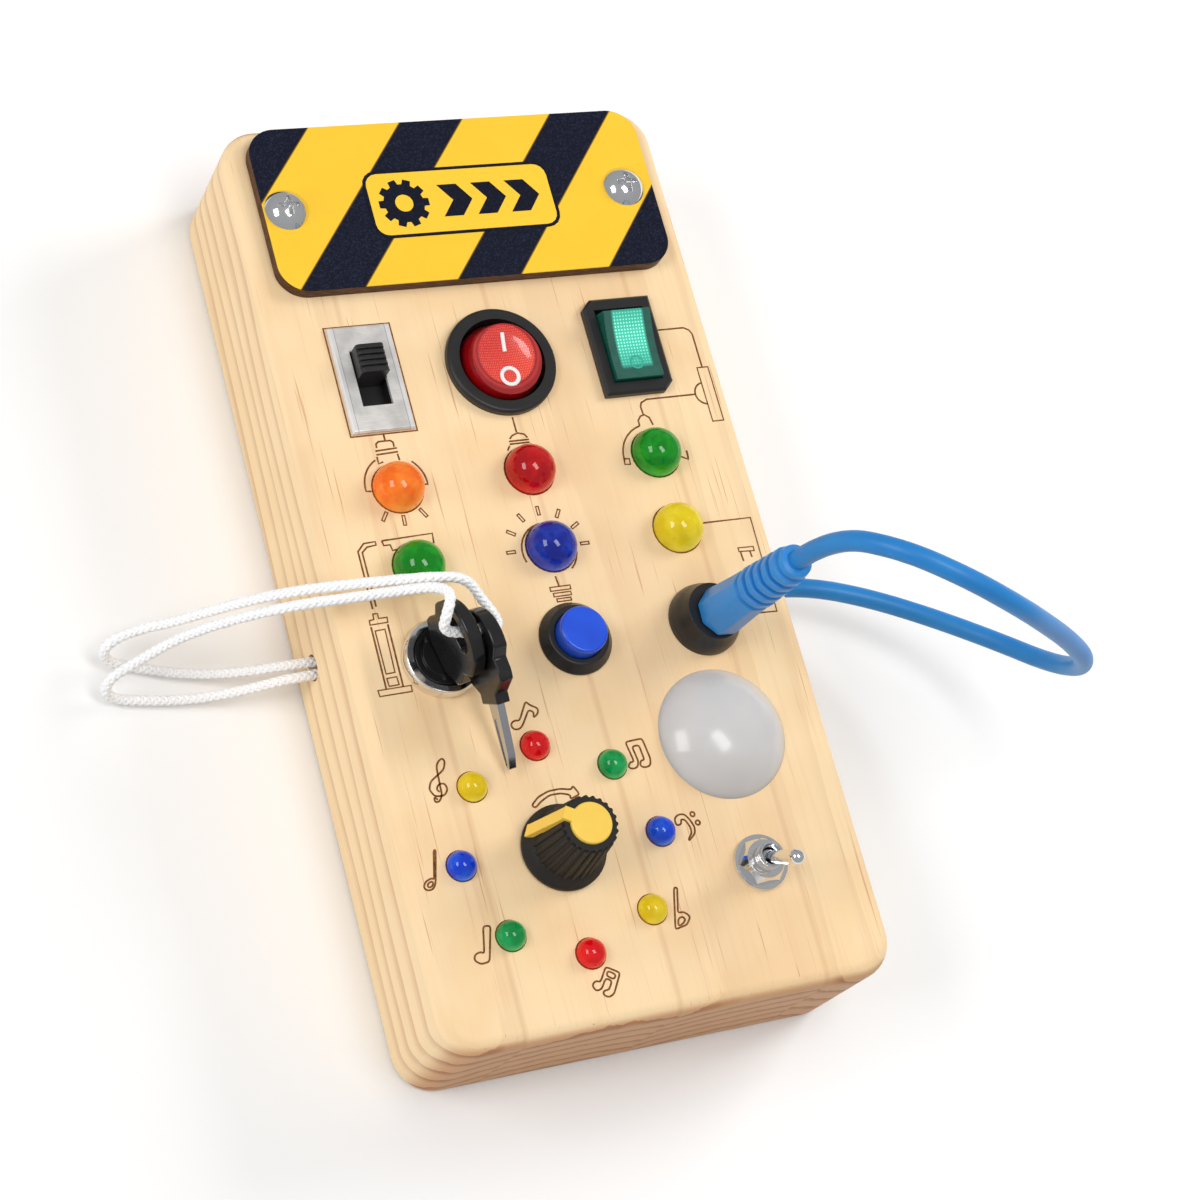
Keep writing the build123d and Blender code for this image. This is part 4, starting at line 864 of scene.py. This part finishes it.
def arrow_bar(x, y, length, half, lean):
    """The upper and the lower half of a bar that is bent to a point."""
    seam = y - 0.001
    upper = [(x, y + half), (x + lean, y), (x + length + lean, y), (x + length, y + half)]
    lower = [(x, y - half), (x + length, y - half), (x + length + lean, seam), (x + lean, seam)]
    return [upper, lower]


dark_ink = ink_paint("dark_ink", sign_navy, colour(40, 45, 70))
yellow_ink = ink_paint("yellow_ink", sign_yellow, colour(250, 196, 52))
badge_marks = [wheel_tooth(wheel_x, badge_y, 3.9, 5.4, radians(tooth * 360 / tooth_count))
               for tooth in range(tooth_count)]
for step in range(3):
    badge_marks += arrow_bar(badge_x - 4.8 + step * 7.4, badge_y, 4.2, 3.6, 2.8)
for name, outlines, low, high, ink in (
        ("badge_outline", [round_plate(badge_x, badge_y, 20.4, 7.6, 3.2)], -0.05, 0.03, dark_ink),
        ("badge_field", [round_plate(badge_x, badge_y, 19.7, 6.9, 2.6)], 0.0, 0.05, yellow_ink),
        ("badge_marks", badge_marks, 0.0, 0.07, dark_ink),
        ("badge_wheel", [circle_line(wheel_x, badge_y, 4.3)[:-1]], 0.0, 0.08, dark_ink),
        ("badge_hub", [circle_line(wheel_x, badge_y, 1.9)[:-1]], 0.0, 0.1, yellow_ink)):
    mark = flat_plate(name, outlines, sign_face + low, sign_face + high, ink)
    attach(mark, "board")

chrome = plated_paint("chrome_plate", colour(242, 243, 245), 0.05)
finished("sign_screws", "board", chrome, "chrome", edge=0.14, smooth=40)

# ---------------------------------------------------------------- slide switch
# A stock slide switch let into the face: a satin steel plate, a black moulded body under it, and
# a ribbed black slider in the window, pushed to its upper end.


def plate_paint():
    """Brushed steel, with a painted highlight along the folded lip down each long side and a painted shade line in the
    crease inside it.
    """
    paint = Paint("brushed_plate", {"Metallic": 0.4})
    aside = abs(paint.axes(paint.place(shift=(slide_x, slide_y, 0.0)))[0])
    brush = paint.noise(paint.place((0.3, 7.0, 6.0)), 1.0, 3.0)
    smear = paint.noise(paint.place(), 0.22)
    # Painted highlight along the lip and painted shade in the crease of its fold, by the distance from the plate's
    # middle.
    lip_highlight = aside.rise(5.35, 5.45)
    fold_shade = aside.rise(5.2, 5.35) * (1.0 - lip_highlight)
    paint.relief(brush, 0.02, 0.35)
    steel = paint.mix(smear.rise(0.35, 0.65), colour(210, 207, 203), colour(236, 233, 229))
    steel = paint.tint(steel, (brush.rise(0.4, 0.7) * 0.3, colour(176, 173, 170)),
                       (lip_highlight * 0.6, colour(238, 237, 236)), (fold_shade * 0.6, colour(120, 118, 116)))
    return paint.look(base=steel, rough=0.36 + brush * 0.14)


def black_paint(name, tone, shine, grain_size, depth):
    """Moulded black plastic with a fine grain."""
    return grained_paint(name, {"Specular IOR Level": 0.5}, (tone, scaled(tone, 1.7, 0.003)),
                         (grain_size, 2.0, 0.6), (0.25,), (depth, 0.7), (shine, 0.12))


grained_black = black_paint("grained_black", colour(26, 25, 26), 0.34, 4.0, 0.03)
satin_black = black_paint("satin_black", colour(24, 23, 24), 0.28, 1.5, 0.015)
gloss_black = black_paint("gloss_black", colour(18, 18, 19), 0.12, 1.0, 0.008)
finished("slide_switch_plate", "board", plate_paint(), "steel", edge=0.12)
finished("slide_switch_housing", "board", satin_black, "black_plastic")
finished("slide_switch_knob", "slide_knob", grained_black, "black_plastic", edge=0.14)

# ---------------------------------------------------------------- rocker switches
# Two snap-in rocker switches: a round one with a dished red paddle and a square one with a clear
# green paddle over its lamp. Their marks are printed on the paddles.
round_place, square_place = (-0.9, 39.2), (27.1, 39.9)
round_swing, square_swing = 18.0, 16.0
round_drop, square_drop = 0.7, 0.8
rocker_pivot_z, rocker_height = 29.0, 6.2
dish_radius = 26.0
mark_rise = 0.06
dimple_pitch, dot_pitch = 0.5, 0.66


def red_paddle_paint():
    paint = Paint("clear_red", {"Coat Weight": 0.8, "Coat Roughness": 0.06, "Subsurface Weight": 0.25,
                                "Subsurface Scale": 0.002, "Subsurface Radius": (1.0, 0.25, 0.15)})
    where = paint.place(shift=(*round_place, 0.0))
    x, y, z = paint.axes(where)
    from_middle = x.reach(y)
    rows = y / dimple_pitch
    along_row = (x + rows.whole() * (dimple_pitch / 2)) / dimple_pitch
    dimple = (along_row.part() - 0.5).reach(rows.part() - 0.5).rise(0.2, 0.45)
    inner = 1.0 - from_middle.rise(5.6, 6.3)
    paint.relief(dimple * inner, 0.1, 0.5)
    side = paint.mix(paint.noise(where, 0.4), colour(128, 4, 12), colour(172, 10, 18))
    lit = (x * 0.5 - y * 0.6).rise(-6.0, 7.0)
    low_red = paint.mix(lit, colour(206, 40, 36), colour(236, 58, 40))
    high_red = paint.mix(lit, colour(232, 72, 62), colour(255, 108, 80))
    # Painted highlight: a lighter ring along the top of the paddle's rim.
    rim_highlight = from_middle.rise(6.2, 6.6) * (1.0 - from_middle.rise(6.8, 7.3)) * z.rise(33.0, 33.6)
    red = paint.tint(side, (inner, paint.mix(dimple, high_red, low_red)), (rim_highlight * 0.35, colour(232, 70, 62)))
    return paint.look(base=red, rough=0.2 + dimple * 0.05)


def green_paddle_paint():
    paint = Paint("clear_green", {"Coat Weight": 0.9, "Coat Roughness": 0.04, "Coat IOR": 1.7,
                                  "Emission Strength": 0.42})
    where = paint.place(shift=(*square_place, 0.0))
    x, y, _ = paint.axes(where)
    dot = 1.0 - ((x / dot_pitch).part() - 0.5).reach((y / dot_pitch).part() - 0.5).rise(0.16, 0.34)
    window = (1.0 - abs(x).rise(3.1, 3.7)) * (1.0 - abs(y - 0.4).rise(5.2, 6.5))
    lamp = 1.0 - abs(y - 1.0).rise(0.5, 6.0) * 0.7
    bright = paint.mix(dot * lamp, colour(34, 172, 146), colour(190, 255, 240))
    dark = paint.mix(paint.noise(where, 0.5), colour(4, 62, 54), colour(14, 98, 82))
    paint.relief(dot * window, 0.06, 0.4)
    glow = paint.mix(window * lamp, (0.0, 0.02, 0.015, 1.0), colour(70, 214, 174))
    return paint.look(base=paint.mix(window, dark, bright), rough=0.16 + dot * 0.05, glow=glow)


finished("round_rocker_paddle", "round_paddle", red_paddle_paint(), "red_plastic", edge=0.3)
finished("square_rocker_paddle", "square_paddle", green_paddle_paint(), "green_plastic", edge=0.22)
for node in ("round_rocker_housing", "square_rocker_housing"):
    finished(node, "board", grained_black, "black_plastic", edge=0.22)

mark_white = ink_paint("mark_white", colour(244, 240, 238), colour(255, 252, 250))
mark_mint = ink_paint("mark_mint", colour(60, 176, 150), colour(84, 196, 168))


def paddle_mark(name, lines, width, place, swing, drop, hollow, finish, body):
    """Lines printed on the dished top of a paddle, which leans by half its swing. A ball's hollow
    falls away on both axes, a trough's on one."""
    piece = flat_lines(name, lines, 0.0, width, mark_rise, finish)
    pivot = Matrix.Translation(Vector((*place, rocker_pivot_z)) * mm)
    lean = pivot @ Matrix.Rotation(radians(swing / 2), 4, "X")
    for vertex in piece.data.vertices:
        x, y, z = vertex.co / mm
        away = x * x + y * y if hollow == "ball" else y * y
        top = rocker_height - drop + dish_radius - sqrt(dish_radius**2 - away)
        vertex.co = lean @ (Vector((x, y, z + top)) * mm)
    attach(piece, body)
    return piece


on_bar = [(0.0, 1.7 + step * 0.25) for step in range(16)]
off_ring = circle_line(0.0, -3.5, 1.75)
red_marks = paddle_mark("red_paddle_marks", [on_bar, off_ring], 0.8, round_place, round_swing, round_drop,
                        "ball", mark_white, "round_paddle")
green_mark = paddle_mark("green_paddle_mark", [circle_line(0.0, -3.9, 1.3)], 0.42, square_place, square_swing,
                         square_drop, "trough", mark_mint, "square_paddle")

# ---------------------------------------------------------------- bulbs
# Six round-headed bulbs, 10.2 mm wide, and eight small ones, 5.8 mm wide, in coloured clear
# plastic. Each is pushed through its bore from behind as far as its flange.
bulb_glow_height, ring_glow_height = 4.5, 2.6


def lens_paint(name, deep, bright, glow_height):
    """Clear coloured plastic, with painted light on one side near the wood, where light leaves it, and painted shade at
    its foot against the wood.
    """
    paint = Paint(name, {"Coat Weight": 1.0, "Coat Roughness": 0.03, "Subsurface Weight": 0.15,
                         "Subsurface Scale": 0.003, "Subsurface Radius": (1.0, 0.8, 0.6),
                         "Specular IOR Level": 0.0, "Coat IOR": 1.5, "Emission Strength": 0.16})
    where = paint.place()
    z = paint.axes(where)[2]
    swirl = paint.noise(where, 0.35)
    way_x, way_y, way_z = paint.axes(paint.add("ShaderNodeNewGeometry").outputs["Normal"])
    # Painted light: the side facing -y, and a little +x, is lightened near the wood.
    leaving = (way_x * 0.35 - way_y * 0.85 - way_z * 0.1).rise(0.1, 0.95)
    thin = leaving * (1.0 - (z + (swirl - 0.5) * 0.6).rise(face + 0.4, face + glow_height))
    core = paint.mix(swirl.rise(0.35, 0.7), deep, tuple(0.7 * a + 0.3 * b for a, b in zip(deep, bright)))
    # Painted shade: the foot of the lens, at and under the face, is darkened to 0.3 of its deep tone.
    lens = paint.mix(z.rise(face - 0.2, face + 0.3), scaled(deep, 0.3), paint.mix(thin * 0.9, core, bright))
    return paint.look(base=lens, rough=0.12 + swirl * 0.06, glow=lens)


bulb_tones = {
    "orange": (colour(226, 98, 8), colour(255, 168, 70)), "red": (colour(156, 0, 6), colour(232, 26, 28)),
    "green": (colour(0, 116, 14), colour(30, 182, 44)), "blue": (colour(10, 26, 128), colour(46, 84, 214)),
    "yellow": (colour(208, 182, 0), colour(246, 230, 70)),
}
ring_tones = {
    "red": (colour(196, 0, 10), colour(246, 40, 36)), "green": (colour(0, 124, 56), colour(40, 196, 110)),
    "blue": (colour(6, 52, 184), colour(40, 120, 240)), "yellow": (colour(204, 174, 4), colour(244, 222, 60)),
}
for tone, (deep, bright) in bulb_tones.items():
    bulb_lens = lens_paint(tone + "_lens", deep, bright, bulb_glow_height)
    for node in ["bulb_green_right", "bulb_green_left"] if tone == "green" else ["bulb_" + tone]:
        finished(node, "board", bulb_lens, tone + "_lens", smooth=50)
    if tone in ring_tones:
        ring_lens = lens_paint("ring_" + tone + "_lens", *ring_tones[tone], ring_glow_height)
        finished("ring_leds_" + tone, "board", ring_lens, tone + "_lens", smooth=50)

# ---------------------------------------------------------------- push button
# A panel push button: a low black cone screwed to the face from behind, and a blue cap
# on a spring in its bore.


def bare(node, finish):
    """A solid left in its own shape, in its finish."""
    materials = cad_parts[node].data.materials
    materials.clear()
    materials.append(finish)


def brushed_paint(name, tone, shine):
    paint = Paint(name, {"Metallic": 0.85})
    brush = paint.long_noise(6.0, 0.25, 3.0)
    smear = paint.noise(paint.place(), 0.2)
    paint.relief(brush, 0.02, 0.35)
    return paint.look(base=paint.mix(smear, scaled(tone, 0.8), tone), rough=shine + brush * 0.14)


satin_steel = brushed_paint("satin_steel", colour(206, 206, 208), 0.36)
blue_plastic = grained_paint(
    "blue_cap", {"Coat Weight": 0.3, "Coat Roughness": 0.15},
    tones=(colour(14, 70, 208), colour(28, 92, 232)), grain=(2.0,), cloud=(0.2,), relief=(0.012, 0.4),
    rough=(0.26, 0.1))
finished("push_button_bezel", "board", satin_black, "black_gloss", edge=0.25, smooth=25)
finished("push_button_cap", "button_cap", blue_plastic, "blue_plastic", smooth=40)
bare("push_button_spring", satin_steel)

# ---------------------------------------------------------------- jack, lock and keys
# A black jack collar stands on the right and a chrome-ringed key lock on the left. One key sits
# in the lock; its twin hangs beside it. Both have a black moulded grip and a nickel blade.
spare_yaw, spare_pitch = radians(8.0), radians(21.5)
blade_foot = Vector((-23.6, -32.7, 38.45)) * mm
taper_start, taper_length = 0.5, 12.0
taper_least, taper_growth = 0.12, 0.42
finished("jack_collar", "board", satin_black, "black_plastic", edge=0.3, smooth=25)
finished("lock_bezel", "board", chrome, "chrome", edge=0.12)
finished("lock_core", "lock_turning_core", gloss_black, "black_gloss", edge=0.12)
finished("lock_key_head", "lock_key", gloss_black, "black_gloss", edge=0.45)
finished("spare_key_head", "spare_key", gloss_black, "black_gloss", edge=0.45)
finished("lock_key_blade", "lock_key", nickel, "nickel", edge=0.12)
spare_blade = finished("spare_key_blade", "spare_key", nickel, "nickel", edge=0.12)

# The hanging blade narrows towards its tip.
blade_way = Vector((cos(spare_pitch) * sin(spare_yaw), -cos(spare_pitch) * cos(spare_yaw), -sin(spare_pitch)))
blade_side = blade_way.cross(Vector((cos(spare_yaw), sin(spare_yaw), 0.0)))
for vertex in spare_blade.data.vertices:
    reach = (vertex.co - blade_foot).dot(blade_way)
    wide = (vertex.co - blade_foot).dot(blade_side)
    share = min(max((reach / mm - taper_start) / taper_length, 0.0), 1.0)
    vertex.co -= blade_side * wide * (taper_least + taper_growth * share**2)

# ---------------------------------------------------------------- selector knob
# A ribbed black knob on the shaft of a rotary switch, with a glued yellow cap whose bar runs
# down one side as the pointer.
knob_black = black_paint("knob_black", colour(17, 15, 14), 0.56, 1.5, 0.015)
knob_yellow = grained_paint(
    "yellow_cap", {"Coat Weight": 0.2, "Coat Roughness": 0.25},
    tones=(colour(247, 200, 66), colour(251, 212, 92)), grain=(2.4,), cloud=(0.3,), relief=(0.012, 0.5),
    rough=(0.3, 0.12))
finished("selector_knob", "selector", knob_black, "black_plastic", edge=0.12, smooth=35)
finished("knob_cap", "selector", knob_yellow, "knob_yellow", edge=0.2, smooth=40)

# ---------------------------------------------------------------- dome lamp
# A milky plastic dome, 26 mm wide, moulded in one piece with its spigot. The spigot is pressed
# into the face, with a lamp board under it.


def milk_paint():
    paint = Paint("milky_dome", {"Coat Weight": 0.6, "Coat Roughness": 0.12, "Subsurface Weight": 0.4,
                                 "Subsurface Scale": 0.004, "Subsurface Radius": (1.0, 0.95, 0.9)})
    cloud = paint.noise(paint.place(), 0.12)
    return paint.look(base=paint.mix(cloud, colour(204, 201, 199), colour(214, 211, 209)), rough=0.3 + cloud * 0.06)


finished("dome_lens", "board", milk_paint(), "milk_lens", smooth=40)

# ---------------------------------------------------------------- toggle switch
# A chrome bat-lever toggle switch. A washer and a six-sided nut on its threaded neck hold it in
# the face.
toggle_x, toggle_y = 23.9, -69.9
thread_turns, thread_steps = 3.2, 24
thread_low, thread_high = 34.5, 36.7
thread_reach, thread_radius, thread_sides = 2.42, 0.2, 6
finished("toggle_bushing", "board", chrome, "chrome", edge=0.16)
finished("toggle_lever", "toggle", chrome, "chrome", smooth=60)


def thread_line():
    count = int(thread_turns * thread_steps)
    points = []
    for step in range(count + 1):
        turn = 2 * pi * thread_turns * step / count
        height = thread_low + (thread_high - thread_low) * step / count
        points.append((toggle_x + thread_reach * cos(turn), toggle_y + thread_reach * sin(turn), height))
    return points


toggle_thread = swept(line_curve("thread", [thread_line()]), "toggle_thread", round_section,
                      Radius=thread_radius * mm, Sides=thread_sides, Finish=chrome)
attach(toggle_thread, "board")

# ---------------------------------------------------------------- back and inside
# A thin plywood panel with six countersunk screws shuts the back; a black battery box with its
# door hangs in it. Behind the face sit the lamp boards, the switch bodies and the nuts.


def plywood_paint():
    paint = Paint("back_plywood", {"Specular IOR Level": 0.3})
    figure = paint.long_noise(0.12, 0.012, 3.0)
    fibre = paint.long_noise(2.4, 0.06)
    band = (figure * 9.0).part().rise(0.4, 1.0)
    tone = paint.mix(band * 0.5, colour(236, 206, 160), colour(212, 172, 122))
    tone = paint.mix(fibre.rise(0.5, 0.8) * 0.3, tone, colour(188, 146, 100))
    paint.relief(fibre, 0.04, 0.4)
    return paint.look(base=tone, rough=0.6 + fibre * 0.1)


def cell_paint():
    """A dark jacket with a copper-coloured band at each end."""
    paint = Paint("cell_jacket", {"Coat Weight": 0.3})
    where = paint.place()
    band = abs(paint.axes(where)[0]).over(14.0)
    rough = 0.3 + paint.noise(where, 0.3) * 0.1
    return paint.look(base=paint.mix(band, colour(44, 46, 52), colour(176, 126, 58)), rough=rough)


lamp_board = grained_paint(
    "lamp_board_green", {"Coat Weight": 0.4, "Coat Roughness": 0.2},
    tones=(colour(16, 84, 48), colour(26, 108, 62)), grain=(1.2,), cloud=None, relief=(0.02, 0.4),
    rough=(0.3, 0.15))
for finish, nodes in (
        (plywood_paint(), ["back_panel"]), (grained_black, ["battery_door"]), (cell_paint(), ["batteries"]),
        (brushed_paint("terminal_brass", colour(204, 168, 92), 0.3), ["switch_terminals"]),
        (satin_steel, ["back_panel_screws", "battery_door_screw", "selector_shaft"]),
        (nickel, ["battery_contacts", "bulb_leads", "ring_led_leads", "lock_barrel"]),
        (lamp_board, ["bulb_board", "ring_led_board", "dome_lamp_board"]),
        (satin_black, ["battery_tray", "panel_nuts", "jack_socket", "cord_stop", "selector_switch", "toggle_body"])):
    for node in nodes:
        bare(node, finish)
